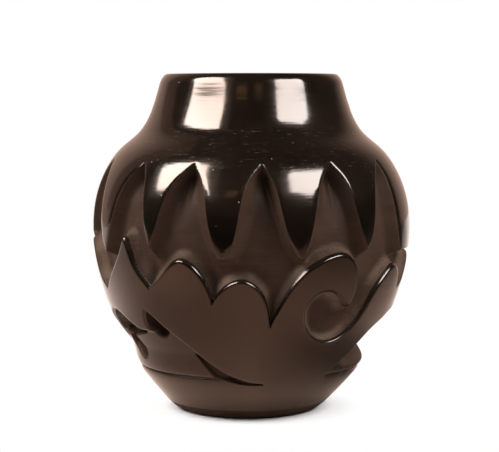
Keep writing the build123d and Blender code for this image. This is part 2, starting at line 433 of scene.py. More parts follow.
@dataclass(frozen=True)
class SmokedClay:
    """Bare scraped clay, smoked in the firing: matt, dark brown, with grain and tool marks, and with shade
    painted into its cuts and light painted round the serpent's back.
    """

    name: str = "smoked_clay"
    deep: Colour = (0.030, 0.0160, 0.0104)
    pale: Colour = (0.050, 0.0285, 0.0190)
    pale_shade: Span = (0.35, 0.65)
    cloud_shade: float = 0.5
    scrape_shade: float = 0.2
    grain_shade: float = 0.3
    # Painted shade: a dark colour laid into the gouges' valleys, the notches between lobes and the deep
    # hollows, where shade falls.
    painted_shade: Colour = (0.011, 0.0058, 0.0036)
    shade_share: float = 0.6
    # Painted light over some real rubbing: a pale colour laid on the clay just above the serpent's back,
    # where the cove faces up to the lamps.
    rubbed_and_lit: Colour = (0.105, 0.064, 0.045)
    rubbed_and_lit_grain: Span = (0.7, 1.2)
    roughness: float = 0.55
    roughness_spread: float = 0.15
    sheen: float = 0.08
    sheen_tint: Colour = (1.0, 0.7, 0.55)
    grain_mm: float = 0.45
    cloud_mm: float = 15.0
    scrape_length_mm: float = 14.0
    scrape_width_mm: float = 0.8
    relief_mm: float = 0.02
    relief_strength: float = 0.6
    scrape_relief: float = 0.5

    def material(self) -> bpy.types.Material:
        """Build the finish.

        Returns:
            The material, which reads Object coordinates and a point attribute that holds painted shade and
            painted light.
        """
        made, sheet = new_finish(self.name)
        place = sheet.millimetres()
        grain = sheet.noise(place, 1 / self.grain_mm, detail=4.0, rough=0.6)
        scrapes = sheet.streaks(place, self.scrape_length_mm, self.scrape_width_mm, detail=3.0)
        clouds = sheet.noise(place, 1 / self.cloud_mm, detail=5.0, rough=0.6)
        shade = clouds * self.cloud_shade + scrapes * self.scrape_shade + grain * self.grain_shade
        tone = sheet.blend(sheet.ease(shade, *self.pale_shade), self.deep, self.pale)
        # Painted shade: the clay is darkened where the point attribute is above nought.
        painted_shade_and_light = sheet.attribute("painted_shade_and_light")
        tone = sheet.blend(sheet.math("MAXIMUM", painted_shade_and_light, 0.0) * self.shade_share, tone, self.painted_shade)
        # Painted light over some real rubbing: the clay is lightened, in grainy patches, where the point
        # attribute is below nought.
        worn = sheet.math("MAXIMUM", 0 - painted_shade_and_light, 0.0) * sheet.ease(grain + clouds, *self.rubbed_and_lit_grain)
        tone = sheet.blend(worn, tone, self.rubbed_and_lit)
        skin = sheet.node(
            "ShaderNodeBsdfPrincipled",
            None,
            Base_Color=tone,
            Roughness=self.roughness + self.roughness_spread * (grain - 0.5),
            Specular_IOR_Level=self.sheen,
            Specular_Tint=self.sheen_tint,
            Normal=sheet.bump(grain + scrapes * self.scrape_relief, self.relief_strength, self.relief_mm),
        )
        sheet.surface(skin)
        return made


@dataclass(frozen=True)
class StudioPaper:
    """The pale sheet that the jar stands on, with the warm room that the polish mirrors in it.

    Places and reaches are in metres from the jar's axis.
    """

    name: str = "studio_paper"
    colour: Colour = (0.90, 0.89, 0.875)
    roughness: float = 0.9
    sheen: float = 0.1
    fade: Span = (0.031, 0.049)
    mirrored: Colour = (1.0, 0.72, 0.58)
    mirrored_pale: Colour = (1.0, 0.86, 0.8)
    mirrored_level: float = 1.2
    mirrored_limits: Span = (0.08, 1.8)
    left_fall: float = 5.0
    left_slack: float = 0.62
    left_reach: Span = (0.08, 0.16)
    right_fall: float = 17.0
    right_slack: float = 0.85
    right_reach: Span = (0.055, 0.12)
    rise: float = 3.6
    rise_way: Vector = (-0.5, 0.85, 0.0)
    patch: Vector = (-0.19, -0.14, 0.0)
    patch_reach: Span = (0.03, 0.13)
    patch_level: float = 0.6
    near_shade: float = 0.85
    near_reach: Span = (0.030, 0.043)
    wide_shade: float = 0.2
    wide_reach: Span = (0.12, 0.32)

    def material(self) -> bpy.types.Material:
        """Build the finish.

        Returns:
            Paper with the jar's shadow near it, plain white to the camera far from it.
        """
        made, sheet = new_finish(self.name)
        skin = sheet.node(
            "ShaderNodeBsdfPrincipled",
            None,
            Base_Color=self.colour,
            Roughness=self.roughness,
            Specular_IOR_Level=self.sheen,
        )
        place = sheet.out(sheet.node("ShaderNodeTexCoord"), "Object")
        away = sheet.measure("LENGTH", place)
        rays = sheet.node("ShaderNodeLightPath")
        white = sheet.node("ShaderNodeEmission", None, Color=WHITE, Strength=1.0)
        far = sheet.ease(away, *self.fade)
        seen = sheet.mixed(far * sheet.out(rays, "Is Camera Ray"), skin, white)
        warm = sheet.node("ShaderNodeEmission", None, Color=self._warmth(sheet, place, away), Strength=1.0)
        sheet.surface(sheet.mixed(sheet.out(rays, "Is Glossy Ray"), seen, warm))
        return made

    def _warmth(self, sheet: NodeSheet, place: Wire, away: Wire) -> Wire:
        """The colour that the polish mirrors.

        Args:
            sheet: the finish's nodes.
            place: the place on the paper.
            away: its distance from the jar's axis.

        Returns:
            A colour that falls off to both sides, and to the jar's own shadow.
        """
        side = sheet.out(sheet.node("ShaderNodeSeparateXYZ", None, Vector=place), "X")
        left = side * -self.left_fall * (1 - self.left_slack * sheet.ease(away, *self.left_reach))
        right = side * self.right_fall * (1 - self.right_slack * sheet.ease(away, *self.right_reach))
        fall = sheet.math("MAXIMUM", left, right)
        rise = sheet.math("MAXIMUM", sheet.dot(place, self.rise_way), 0.0) * self.rise
        off_patch = sheet.measure("DISTANCE", place, self.patch)
        lift = self.patch_level * (1 - sheet.ease(off_patch, *self.patch_reach))
        least, most = self.mirrored_limits
        level = sheet.math("MAXIMUM", self.mirrored_level - fall + rise + lift, least)
        level = sheet.math("MINIMUM", level, most)
        level = level * (1 - self.near_shade + self.near_shade * sheet.ease(away, *self.near_reach))
        level = level * (1 - self.wide_shade * sheet.ease(away, *self.wide_reach))
        tint = sheet.blend(sheet.math("MINIMUM", rise, 1.0), self.mirrored, self.mirrored_pale)
        return sheet.scaled(tint, level)


@dataclass(frozen=True)
class StationCurve:
    """A smooth curve through stations, such as (radius, height) points.

    Its two ends have set directions, or else they run out straight.
    """

    stations: tuple[Point, ...]
    ends: Optional[tuple[Point, Point]] = None
    walk_samples: int = 400

    @property
    def length(self) -> float:
        """The length of the straight lines from station to station."""
        steps = np.diff(np.array(self.stations, float), axis=0)
        return float(np.cumsum(np.hypot(*steps.T))[-1])

    def points(self, count: int = 3000) -> np.ndarray:
        """Points along the curve.

        Args:
            count: how many.

        Returns:
            An array of rows, evenly spread over the curve's parameter.
        """
        knots = np.array(self.stations, float)
        steps = np.diff(knots, axis=0)
        spans = np.hypot(*steps.T)
        places = np.concatenate([[0], np.cumsum(spans)])
        last = len(steps)
        matrix = np.eye(last + 1)
        right = np.zeros((last + 1, 2))
        if self.ends is None:
            matrix[0, :2] = 2, 1
            matrix[last, -2:] = 1, 2
            # Carry the painted shade and painted light over to the clay's points.
            right[[0, last]] = 3 * steps[[0, -1]] / spans[[0, -1], None]
        else:
            right[[0, last]] = [np.array(way) / np.hypot(*way) for way in self.ends]
        for i in range(1, last):
            before, after = spans[i - 1], spans[i]
            matrix[i, i - 1:i + 2] = after, 2 * (before + after), before
            right[i] = 3 * (after * steps[i - 1] / before + before * steps[i] / after)
        slopes = np.linalg.solve(matrix, right)
        at = np.linspace(0, places[-1], count)
        k = np.clip(np.searchsorted(places, at) - 1, 0, last - 1)
        s = ((at - places[k]) / spans[k])[:, None]
        h = spans[k][:, None]
        return (
            (2 * s**3 - 3 * s**2 + 1) * knots[k]
            + (s**3 - 2 * s**2 + s) * h * slopes[k]
            + (3 * s**2 - 2 * s**3) * knots[k + 1]
            + (s**3 - s**2) * h * slopes[k + 1]
        )

    def radius_at(self, heights: Any) -> np.ndarray:
        """The curve's radius at each height."""
        line = self.points()
        return np.interp(heights, line[:, 1], line[:, 0])

    def walk(self, low: float, high: float, step: float) -> np.ndarray:
        """Points from one height to another, at most a step apart along the curve.

        Args:
            low: the height of the first point.
            high: the height of the last point.
            step: the largest distance between two points.

        Returns:
            An array of (radius, height) rows, both ends included.
        """
        heights = np.linspace(low, high, self.walk_samples)
        line = np.stack([self.radius_at(heights), heights], axis=1)
        length = np.concatenate([[0], np.cumsum(np.hypot(*np.diff(line, axis=0).T))])
        count = max(2, math.ceil(length[-1] / step) + 1)
        picked = np.interp(np.linspace(0, length[-1], count), length, heights)
        return np.stack([self.radius_at(picked), picked], axis=1)


def soft_max(a: np.ndarray, b: np.ndarray, fillet: float) -> np.ndarray:
    """The greater of two fields, with the corner between them filled over a width."""
    share = np.clip(0.5 + 0.5 * (a - b) / fillet, 0, 1)
    return b + (a - b) * share + fillet * share * (1 - share)


def soft_min(a: np.ndarray, b: np.ndarray, fillet: float) -> np.ndarray:
    """The lesser of two fields, with the corner between them rounded over a width."""
    return -soft_max(-a, -b, fillet)


def smooth_step(share: np.ndarray) -> np.ndarray:
    """A share from nought to one, eased at both ends."""
    return share * share * (3 - 2 * share)


def bell(offset: np.ndarray) -> np.ndarray:
    """One at nought, falling off softly to both sides."""
    return np.exp(-(offset**2))


def wrapped(degrees: np.ndarray) -> np.ndarray:
    """Angles brought within half a turn of the front."""
    return (degrees + 180) % 360 - 180


def on_wall(degrees: np.ndarray, radius: np.ndarray, height: np.ndarray) -> np.ndarray:
    """Points at angles from the front, at radii and heights."""
    angle = np.radians(degrees)
    return np.stack([radius * np.sin(angle), -radius * np.cos(angle), height + 0 * angle], axis=-1)


def away_from_jar(azimuth: float, elevation: float) -> np.ndarray:
    """The direction at an azimuth from the front and an elevation, in degrees."""
    a, e = math.radians(azimuth), math.radians(elevation)
    return np.array([math.sin(a) * math.cos(e), -math.cos(a) * math.cos(e), math.sin(e)])


@dataclass(frozen=True)
class JarForm:
    """The jar's section: the same stations as the clay that it dresses."""

    foot_rest_radius: float = 28.0
    foot_roll: Point = (38.0, 6.6)
    foot_band: Point = (49.3, 20.0)
    hip: Point = (63.6, 48.0)
    belly: Point = (69.9, 81.5)
    shoulder: Point = (64.8, 103.5)
    collar: Point = (56.5, 115.2)
    throat: Point = (49.3, 121.4)
    neck: Point = (44.1, 130.0)
    lip: Point = (40.1, 142.9)
    lip_lean: float = 0.28
    lip_crown: float = 4.06
    lip_crown_in: float = 3.6
    floor_thickness: float = 9.0
    floor_flat_radius: float = 16.0
    walls: tuple[float, ...] = (12.0, 12.5, 11.5, 11.5, 10.8, 9.0, 6.8, 5.6)
    base_pat_height: float = 24.0
    coil_count: int = 7
    lap_rise: float = 3.0

    @property
    def height(self) -> float:
        """The height of the whole jar."""
        return self.lip[1] + self.lip_crown

    @property
    def stations(self) -> tuple[Point, ...]:
        """The wall's stations from the foot band up."""
        lower = (self.foot_band, self.hip, self.belly)
        return lower + (self.shoulder, self.collar, self.throat, self.neck, self.lip)

    @property
    def joints(self) -> list[float]:
        """The heights of the lap joints at the outside, from the base pat's top up."""
        rise = (self.height - self.base_pat_height) / self.coil_count
        return [self.base_pat_height + rise * index for index in range(self.coil_count)]

    @property
    def wall_ends(self) -> tuple[Point, Point]:
        """The wall's directions: level at the foot, leaning in at the lip."""
        return (1, 0), (-self.lip_lean, 1)

    def outer(self) -> StationCurve:
        """The outside of the wall, from the edge of the resting face to the lip."""
        foot = ((self.foot_rest_radius, 0.0), self.foot_roll)
        return StationCurve(foot + self.stations, self.wall_ends)

    def inner(self) -> StationCurve:
        """The inside of the wall.

        Returns:
            Its curve, from the edge of the flat floor to the lip.
        """
        floor = ((self.floor_flat_radius, self.floor_thickness),)
        wall = tuple((radius - wall, height) for (radius, height), wall in zip(self.stations, self.walls))
        return StationCurve(floor + wall, self.wall_ends)

    def lip_roll(self, count: int) -> np.ndarray:
        """Points over the lip.

        Args:
            count: how many.

        Returns:
            An array of (radius, height) rows, from the lip's outer root to its inner root.
        """
        radius, height = self.lip
        crown = (radius - self.lip_crown_in, self.height)
        root = (radius - self.walls[-1], height)
        ends = ((-self.lip_lean, 1), (self.lip_lean, -1))
        return StationCurve((self.lip, crown, root), ends).points(count)


@dataclass(frozen=True)
class PendantPoints:
    """The ring of polished points that hangs from the shoulder, and the gouges between them."""

    count: int = 13
    turn: float = 4.2
    wall_slope: float = 0.9
    apex_slope: float = 0.5
    apex_reach: float = 18.0
    apex_taper: float = 0.75
    tip_round: float = 1.6
    edge_round: float = 0.35
    half_widths: tuple[Point, ...] = (
        (0.0, 110.2), (4.4, 105.0), (7.7, 98.5), (9.5, 93.0), (11.0, 87.5), (12.6, 82.0), (14.6, 77.0),
        (17.4, 72.5), (21.5, 67.5), (26.0, 40.0),
    )
    hand_turns: tuple[float, ...] = (
        -0.2, 0.4, 1.0, 9.0, 3.6, 1.2, 0.5, -0.4, 0.6, 0.5, 1.6, 4.9, 1.3,
    )
    hand_leans: tuple[float, ...] = (
        -1.6, -2.0, -4.6, 0.0, 0.6, -0.8, 1.2, -0.4, -1.4, 0.7, 1.0, -3.0, -1.9,
    )
    hand_widths: tuple[float, ...] = (
        0.95, 1.08, 0.9, 0.95, 0.96, 1.05, 1.0, 0.95, 1.04, 0.98, 1.05, 1.05, 1.12,
    )
    hand_valleys: tuple[float, ...] = (
        0.5, 0.26, -0.45, 0.1, -0.2, 0.15, 0.3, -0.1, -0.25, 0.2, 0.0, 0.13, -0.21,
    )
    lean_reach: float = 9.0
    tip_height: float = 66.0
    whole_height: float = 80.0
    tip_floor: float = 72.2
    tip_wall: float = 2.6
    valley_half: float = 2.8
    valley_depth: float = 1.8
    valley_ends: Span = (84.0, 109.0)
    valley_fades: Span = (1.6, 5.0)
    pillow_reach: float = 3.6
    pillow_drop: float = 0.28
    clear_of_jar: float = 3.0
    least_spread: float = 0.05

    @property
    def pitch(self) -> float:
        """Degrees from one gouge to the next."""
        return 360 / self.count

    @property
    def apex(self) -> float:
        """The height at which the gouges start."""
        return self.half_widths[0][1]

    def gouge_walls(self, degrees: np.ndarray, height: np.ndarray, outer: np.ndarray) -> np.ndarray:
        """The radius of the gouges' sloping walls.

        Args:
            degrees: angles round the jar.
            height: heights.
            outer: the jar's outside radius at those heights.

        Returns:
            The radius to which the gouges cut; above the outside where they don't reach.
        """
        even = self._half_width(height)
        upper = np.clip((height - self.tip_height) / (self.whole_height - self.tip_height), 0, 1)
        steep = np.clip((height - self.apex) / self.apex_reach + 1, 0, 1)
        slope = self.wall_slope + (self.apex_slope - self.wall_slope) * steep
        cut = outer * self.clear_of_jar
        for index, (width, shift) in enumerate(zip(self.hand_widths, self.hand_valleys)):
            half = even * (1 + (width - 1) * upper)
            angle = self._from_middle(index, degrees, height) - shift * half / outer
            side = slope * np.where(angle < 0, 1 + shift, 1 - shift)
            spread = np.maximum(np.cos(angle) - np.abs(np.sin(angle)) / side, self.least_spread)
            cut = soft_min(cut, (outer - half / slope) / spread, self.tip_round)
        return cut

    def valleys(self, degrees: np.ndarray, height: np.ndarray, outer: np.ndarray) -> np.ndarray:
        """How near each point is to the valley line of a gouge.

        Args:
            degrees: angles round the jar.
            height: heights.
            outer: the jar's outside radius at those heights.

        Returns:
            One on the line, nought away from it and past its ends.
        """
        low, high = self.valley_ends
        rise = np.clip((height - low) / (high - low), 0, 1)
        even = self._half_width(height)
        share = np.zeros_like(degrees)
        for index, shift in enumerate(self.hand_valleys):
            across = outer * np.sin(self._from_middle(index, degrees, height)) - shift * even
            share = np.maximum(share, bell(across / self.valley_half))
        below, above = self.valley_fades
        return share * np.minimum(rise * below, 1) * np.minimum((1 - rise) * above, 1)

    def pillow(self, standing: np.ndarray) -> np.ndarray:
        """How far a point's face falls towards its edge, from how far it stands over the gouge there."""
        return self.pillow_drop * np.clip(1 - standing / self.pillow_reach, 0, 1) ** 2

    def _half_width(self, height: np.ndarray) -> np.ndarray:
        """Half the width of an even gouge.

        Args:
            height: heights.

        Returns:
            The half width at each height, less than nought above the gouge's start.
        """
        ends = ((0, 1), (-self.apex_taper, 1))
        widths = StationCurve(tuple(reversed(self.half_widths)), ends)
        return np.where(height < self.apex, widths.radius_at(height), self.apex - height)

    def _from_middle(self, index: int, degrees: np.ndarray, height: np.ndarray) -> np.ndarray:
        """The angle from the middle of a gouge, which leans as the hand cut it.

        Args:
            index: which gouge.
            degrees: angles round the jar.
            height: heights.

        Returns:
            The angle in radians.
        """
        down = 1 - np.exp(-np.maximum(self.apex - height, 0) / self.lean_reach)
        middle = self.turn + self.pitch * index + self.hand_turns[index] + self.hand_leans[index] * down
        return np.radians(wrapped(degrees - middle))


@dataclass(frozen=True)
class Hollow:
    """A deep hollow in a pocket, along a line of (degrees, mm above the foot band) points."""

    line: tuple[Point, ...]
    reach: Span
    depth: float
    # Whether the hollow's clay is painted dark as shade.
    painted_shade: bool = True
    by_each_head: bool = True


@dataclass(frozen=True)
class WaterSerpent:
    """The serpent that runs round the jar, as outlines of (degrees, mm above the foot band) points."""

    back_turns: tuple[float, ...] = (0.0, 184.0, 360.0)
    head_turns: tuple[float, ...] = (0.0, 147.3, 360.0)
    tail_turns: tuple[float, ...] = (0.0, 213.0)
    back: tuple[tuple[Point, ...], ...] = (
        (
            (-69.2, 36), (-63, 41.5), (-56.6, 47.9), (-52, 55.2), (-50, 59), (-46.5, 51.8), (-42.6, 43.7),
            (-39, 38.7),
        ),
        ((-39, 38.7), (-33, 44.5), (-25, 51.3), (-18.5, 46.5), (-15.5, 39), (-14.3, 33.8)),
        ((-14.3, 33.8), (-10, 39.8), (-3, 43.3), (3, 39), (6, 31), (7.2, 24)),
        (
            (7.2, 24), (10.5, 32), (17, 44.5), (26, 51.6), (34.5, 53), (39.3, 48.4), (40.9, 42), (40.9, 35.5),
            (38.3, 31), (36, 32.6), (33.4, 36), (28.6, 38.1), (22.5, 35), (20.3, 28), (24, 19.5), (33, 16),
            (42, 20), (48, 28.5), (52.8, 38.4), (57.4, 43.5), (62.1, 46.4), (67.4, 44.1), (72, 36),
        ),
    )
    lobe_rises: tuple[float, ...] = (13.4, 20.0)
    lobe: tuple[Point, ...] = (
        (0, 0), (0.16, 0.2), (0.26, 0.52), (0.36, 0.85), (0.5, 1), (0.64, 0.85), (0.74, 0.52), (0.84, 0.2),
        (1, 0),
    )
    tongue: tuple[Point, ...] = ((-45.3, 19.4), (-46, 23.5), (-44.5, 29))
    swag: tuple[Point, ...] = (
        (-44.5, 29), (-36, 21.5), (-27, 14), (-17, 5.6), (-7, 0.4), (2, -1.6), (10, -3), (24, -4), (39, -3),
    )
    tail: tuple[Point, ...] = ((39, -3), (46, 6.6), (52, 13), (58, 18.3), (69, 23.3))
    jaw: tuple[Point, ...] = ((-70, 26.3), (-58, 22.4), (-50, 19.4), (-45.3, 19.4))
    hollows: tuple[Hollow, ...] = (
        Hollow(((-92, 20.5), (-70, 20.3)), (6.4, 6.4), 4.4),
        Hollow(((-70, 20.3), (-60, 19.6), (-53, 19.2)), (6.4, 2.0), 4.0),
        Hollow(((-68, 12.8), (-63.2, 8.8)), (4.4, 4.2), 4.2),
        Hollow(((-45.6, 26.6), (-43.4, 23), (-41, 20.2)), (1.2, 3.9), 4.2),
        Hollow(((-26, 10.4), (-16, 2.6)), (0.3, 2.5), 1.8),
        Hollow(((-16, 2.6), (-5, -1.4)), (2.5, 1.0), 1.8),
        Hollow(((-5, -1.4), (1, -2.3), (6.5, -2.6)), (1.0, 0.4), 1.4),
        Hollow(
            ((56, 13.5), (72, 13), (92, 12.5), (108, 12.5)), (11.5, 11.5), 6.6,
            painted_shade=False, by_each_head=False,
        ),
    )
    line_step: float = 0.6

    def back_line(self, foot: float) -> list[np.ndarray]:
        """The upper outline, once round the jar.

        Args:
            foot: the height of the foot band.

        Returns:
            One array of (degrees, height) rows for each smooth stretch.
        """
        lines = []
        for start, stop, high in zip(self.back_turns, self.back_turns[1:], self.lobe_rises):
            left, rise = self.back[-1][-1]
            width = self.back[0][0][0] + stop - start - left
            lobe = tuple((left + width * along, rise + high * up) for along, up in self.lobe)
            lines += [self._placed(stretch, start, foot) for stretch in (*self.back, lobe)]
        return lines

    def belly_line(self, foot: float) -> list[np.ndarray]:
        """The lower outline, once round the jar.

        Args:
            foot: the height of the foot band.

        Returns:
            One array of (degrees, height) rows for each smooth stretch.
        """
        lines = []
        for head, tail, next_head in zip(self.head_turns, self.tail_turns, self.head_turns[1:]):
            lines += [self._placed(stretch, head, foot) for stretch in (self.tongue, self.swag)]
            if tail > head:
                degrees, rise = self.tail[0]
                lines.append(self._placed((self.swag[-1], (degrees + tail - head, rise)), head, foot))
            turn = next_head - tail
            jaw = tuple((degrees + turn, rise) for degrees, rise in self.jaw)
            lines.append(self._placed(self.tail + jaw, tail, foot))
        return lines

    def hollow_lines(self, foot: float) -> list[tuple[Hollow, np.ndarray]]:
        """The middle lines of the hollows.

        Args:
            foot: the height of the foot band.

        Returns:
            Each hollow with its line, once for each place that it has.
        """
        lines = []
        for hollow in self.hollows:
            for turn in self.head_turns[:-1] if hollow.by_each_head else self.head_turns[:1]:
                lines.append((hollow, self._placed(hollow.line, turn, foot)))
        return lines

    def notches(self, foot: float) -> list[Point]:
        """The sharp low points between the lobes of each back, as (degrees, height)."""
        lows = [stretch[0] for stretch in self.back[1:]]
        return [(angle + turn, level + foot) for turn in self.back_turns[:-1] for angle, level in lows]

    def _placed(self, stretch: tuple[Point, ...], turn: float, foot: float) -> np.ndarray:
        """A stretch as a smooth line, turned round the jar and lifted to the foot band.

        Args:
            stretch: points of the outline.
            turn: degrees round the jar.
            foot: the height of the foot band.

        Returns:
            An array of (degrees, height) rows, about a line step apart.
        """
        curve = StationCurve(stretch)
        count = max(2, math.ceil(curve.length / self.line_step))
        return curve.points(count) + np.array([turn, foot])


@dataclass
class CarvedSurface:
    """The jar's outside as a fine grid of points, with the pattern carved into it."""

    form: JarForm
    points: PendantPoints
    serpent: WaterSerpent
    columns: int = 960
    fine_step: float = 0.45
    plain_step: float = 1.3
    relief_low: float = 13.0
    relief_high: float = 112.5
    point_low: float = 60.0
    slip_foot: float = 4.0
    on_row: float = 0.01
    lip_rows: int = 18
    carve_depth: float = 5.6
    edge_fullness: float = 0.95
    back_round: float = 1.4
    back_wall: float = 2.0
    back_polish: float = 0.5
    bare_sides: Span = (66.0, 102.0)
    bare_fade: float = 4.0
    bare_back: float = 1.0
    # Where light is painted pale on the clay round the serpent's back, over some real rubbing.
    rubbed_and_lit_below: float = 1.0
    rubbed_and_lit_reach: float = 1.6
    # How wide and how high shade is painted into the notches between lobes.
    notch_half: float = 1.9
    notch_rise: float = 6.0
    belly_round: float = 0.9
    belly_wall: float = 3.2
    belly_polish: float = 0.15
    moat: float = 2.8
    moat_wall: float = 3.0
    toe_fillet: float = 5.0
    floor_fillet: float = 1.6
    pocket_step: float = 0.7
    pocket_depth: float = 2.9
    pocket_slope: float = 11.0
    pocket_crease: float = 19.8
    # The walls of the hollows with and without painted shade, and how dark shade is painted with a hollow's
    # depth.
    painted_shade_wall: float = 0.5
    clean_wall: float = 0.9
    shade_depth: float = 2.0
    shade_most: float = 1.5
    foot_roll: float = 3.0
    groove_half: float = 0.5
    groove_depth: float = 0.6
    groove_bare: float = 0.6
    bare_rim: float = 0.35
    slip_thickness: float = 0.1
    hand_waves: tuple[tuple[float, int, float, float], ...] = (
        (0.10, 2, 31.0, 0.0), (0.07, 3, -17.0, 1.3), (0.04, 7, 9.0, 0.0), (0.035, 11, -6.0, 0.7),
    )
    hand_inset: float = 0.08
    hand_start: float = 12.0
    hand_core: float = 20.0
    foot_shift: float = -1.7
    foot_shift_top: float = 30.0
    window: float = 16.0
    near_side: float = 90.0
    block: int = 24
    off_points: float = 1e-4
    far: float = 12.0
    rows: np.ndarray = field(init=False)
    joint_rows: list[int] = field(init=False)
    lip_row: int = field(init=False)
    degrees: np.ndarray = field(init=False)
    outer: np.ndarray = field(init=False)
    height: np.ndarray = field(init=False)
    angle: np.ndarray = field(init=False)
    place: np.ndarray = field(init=False)
    normal: np.ndarray = field(init=False)
    # Painted shade for the clay where above nought, painted light where below it.
    painted_shade_and_light: np.ndarray = field(init=False)
    point_field: np.ndarray = field(init=False)
    serpent_field: np.ndarray = field(init=False)

    def __post_init__(self) -> None:
        """Lay out the rows and columns, then carve."""
        self._lay_rows()
        self.degrees = np.arange(self.columns) * 360 / self.columns - 180
        self.outer = np.repeat(self.rows[:, :1], self.columns, axis=1)
        self.height = np.repeat(self.rows[:, 1:], self.columns, axis=1)
        self.angle = np.repeat(self.degrees[None, :], len(self.rows), axis=0)
        self._carve()

    def hand_set(self, place: np.ndarray) -> np.ndarray:
        """Give points the slight unevenness of a form built by hand, without a wheel.

        Args:
            place: points of the true form, in mm.

        Returns:
            The same points, moved by a fraction of a millimetre, and the foot a little to the side.
        """
        x, y, z = place[..., 0], place[..., 1], place[..., 2]
        angle = np.arctan2(x, -y)
        swell = np.zeros_like(angle)
        for rise, lobes, length, phase in self.hand_waves:
            swell = swell + rise * np.sin(lobes * angle + z / length + phase)
        swell = (swell - self.hand_inset) * np.clip(z / self.hand_start, 0, 1)
        grow = 1 + swell / np.maximum(np.hypot(x, y), self.hand_core)
        shift = self.foot_shift * np.clip(1 - z / self.foot_shift_top, 0, 1)
        return np.stack([x * grow + shift, y * grow, z], axis=-1)

    def clay(self) -> np.ndarray:
        """The clay's outside: the carved surface, let in by the slip's thickness under the slip."""
        covered = (self.point_field > 0) | (self.serpent_field > 0)
        return self.place - self.normal * (self.slip_thickness * covered)[..., None]

    def _lay_rows(self) -> None:
        """Rows up the outside and over the lip, fine where the pattern is, with one at each joint."""
        outer = self.form.outer()
        marks = {0.0, self.slip_foot, self.relief_low, self.pocket_crease, self.relief_high}
        marks = sorted({*marks, self.form.lip[1], *self.form.joints})
        pieces = [np.array([[self.form.foot_rest_radius, 0.0]])]
        for low, high in zip(marks, marks[1:]):
            carved = self.relief_low <= (low + high) / 2 <= self.relief_high
            pieces.append(outer.walk(low, high, self.fine_step if carved else self.plain_step)[1:])
        wall = np.concatenate(pieces)
        self.lip_row = len(wall) - 1
        self.rows = np.concatenate([wall, self.form.lip_roll(self.lip_rows)[1:]])
        self.joint_rows = [int(np.argmin(np.abs(wall[:, 1] - joint))) for joint in self.form.joints]

    def _carve(self) -> None:
        """Work out the carved points of the grid, the shade and light painted on their clay, and the polished
        fields.
        """
        foot = self.form.foot_band[1]
        use = (self.rows[:, 1] < self.relief_high) & (np.arange(len(self.rows)) < self.lip_row)
        back = self._signed(self.serpent.back_line(foot), use, inside_below=True)
        belly = self._signed(self.serpent.belly_line(foot), use, inside_below=False)
        gouges = self.points.gouge_walls(self.angle, self.height, self.outer)
        gouges = np.where(use[:, None], gouges, self.outer + self.far)
        standing = np.where(self.height > self.points.apex, self.far, gouges - self.outer)
        valley = self.points.valleys(self.angle, self.height, self.outer)
        # Hollows whose clay gets painted shade, and the clean one.
        painted_shade, painted_shade_rim = self._hollow_drop(painted_shade=True)
        clean, clean_rim = self._hollow_drop(painted_shade=False)
        upper = self._shoulder_radius(back, gouges, standing, valley)
        lower = self._pocket_radius(belly, np.maximum(painted_shade, clean))
        carved = np.where(use[:, None], np.minimum(upper, lower), self.outer)
        self.place = self.hand_set(on_wall(self.angle, carved, self.height))
        self.normal = self._normals()
        # Painted shade and painted light for the clay's points.
        self.painted_shade_and_light = np.where(use[:, None], self._shade_and_light_marks(back, valley, painted_shade), 0)
        self.point_field = self._point_polish(back, standing)
        self.point_field[~use] = self.far
        self.serpent_field = self._serpent_polish(back, belly, np.minimum(painted_shade_rim, clean_rim))
        self.serpent_field[~use] = -self.far

    def _shoulder_radius(
        self, back: np.ndarray, gouges: np.ndarray, standing: np.ndarray, valley: np.ndarray
    ) -> np.ndarray:
        """The carved radius from the shoulder down to the serpent's back.

        Args:
            back: distance inside the outline of the serpent's back.
            gouges: the radius of the gouges' walls.
            standing: how far these lie outside the jar.
            valley: how near a gouge's valley line is.

        Returns:
            The radius, at most the outside's.
        """
        outer, points = self.outer, self.points
        edge = points.edge_round
        ground = outer - self.carve_depth - points.valley_depth * valley
        bed = soft_max(ground, np.minimum(gouges, outer + self.far), self.floor_fillet)
        bed = soft_min(bed, outer - points.pillow(standing), edge)
        trim = (points.tip_floor - self.height) * points.tip_wall
        ditch = np.maximum((self.moat + back) * self.moat_wall, trim)
        bed = soft_min(bed, outer + edge - np.clip(ditch, 0, self.carve_depth + edge), edge)
        serpent = outer - self._edge_drop(back, self.back_round, self.back_wall)
        return np.minimum(soft_max(bed, serpent, self.toe_fillet), outer)

    def _pocket_radius(self, belly: np.ndarray, hollows: np.ndarray) -> np.ndarray:
        """The carved radius from the serpent's belly down to the foot.

        Args:
            belly: distance inside the outline of the serpent's belly.
            hollows: the extra depth of the hollows.

        Returns:
            The radius, at most the outside's.
        """
        groove = bell((self.height - self.pocket_crease) / self.groove_half)
        floor = self.outer - self._pocket_drop() - self.groove_depth * groove - hollows
        serpent = self.outer - self._edge_drop(belly, self.belly_round, self.belly_wall)
        return np.minimum(soft_max(floor, serpent, self.floor_fillet), self.outer)

    def _shade_and_light_marks(self, back: np.ndarray, valley: np.ndarray, painted_shade: np.ndarray) -> np.ndarray:
        """Where shade is painted dark into the clay, and where light is painted pale on it over some real
        rubbing.

        Args:
            back: distance inside the outline of the serpent's back.
            valley: how near a gouge's valley line is.
            painted_shade: the extra depth of the hollows that get painted shade.

        Returns:
            More than nought for painted shade, less than nought for painted light over partly rubbed clay.
        """
        # Painted shade in the sharp notches between the serpent's lobes.
        notch = np.zeros_like(self.angle)
        for angle, level in self.serpent.notches(self.form.foot_band[1]):
            aside = np.radians(wrapped(self.angle - angle)) * self.outer / self.notch_half
            above = (self.height - level) / self.notch_rise - 1
            notch = np.maximum(notch, bell(aside) * bell(above))
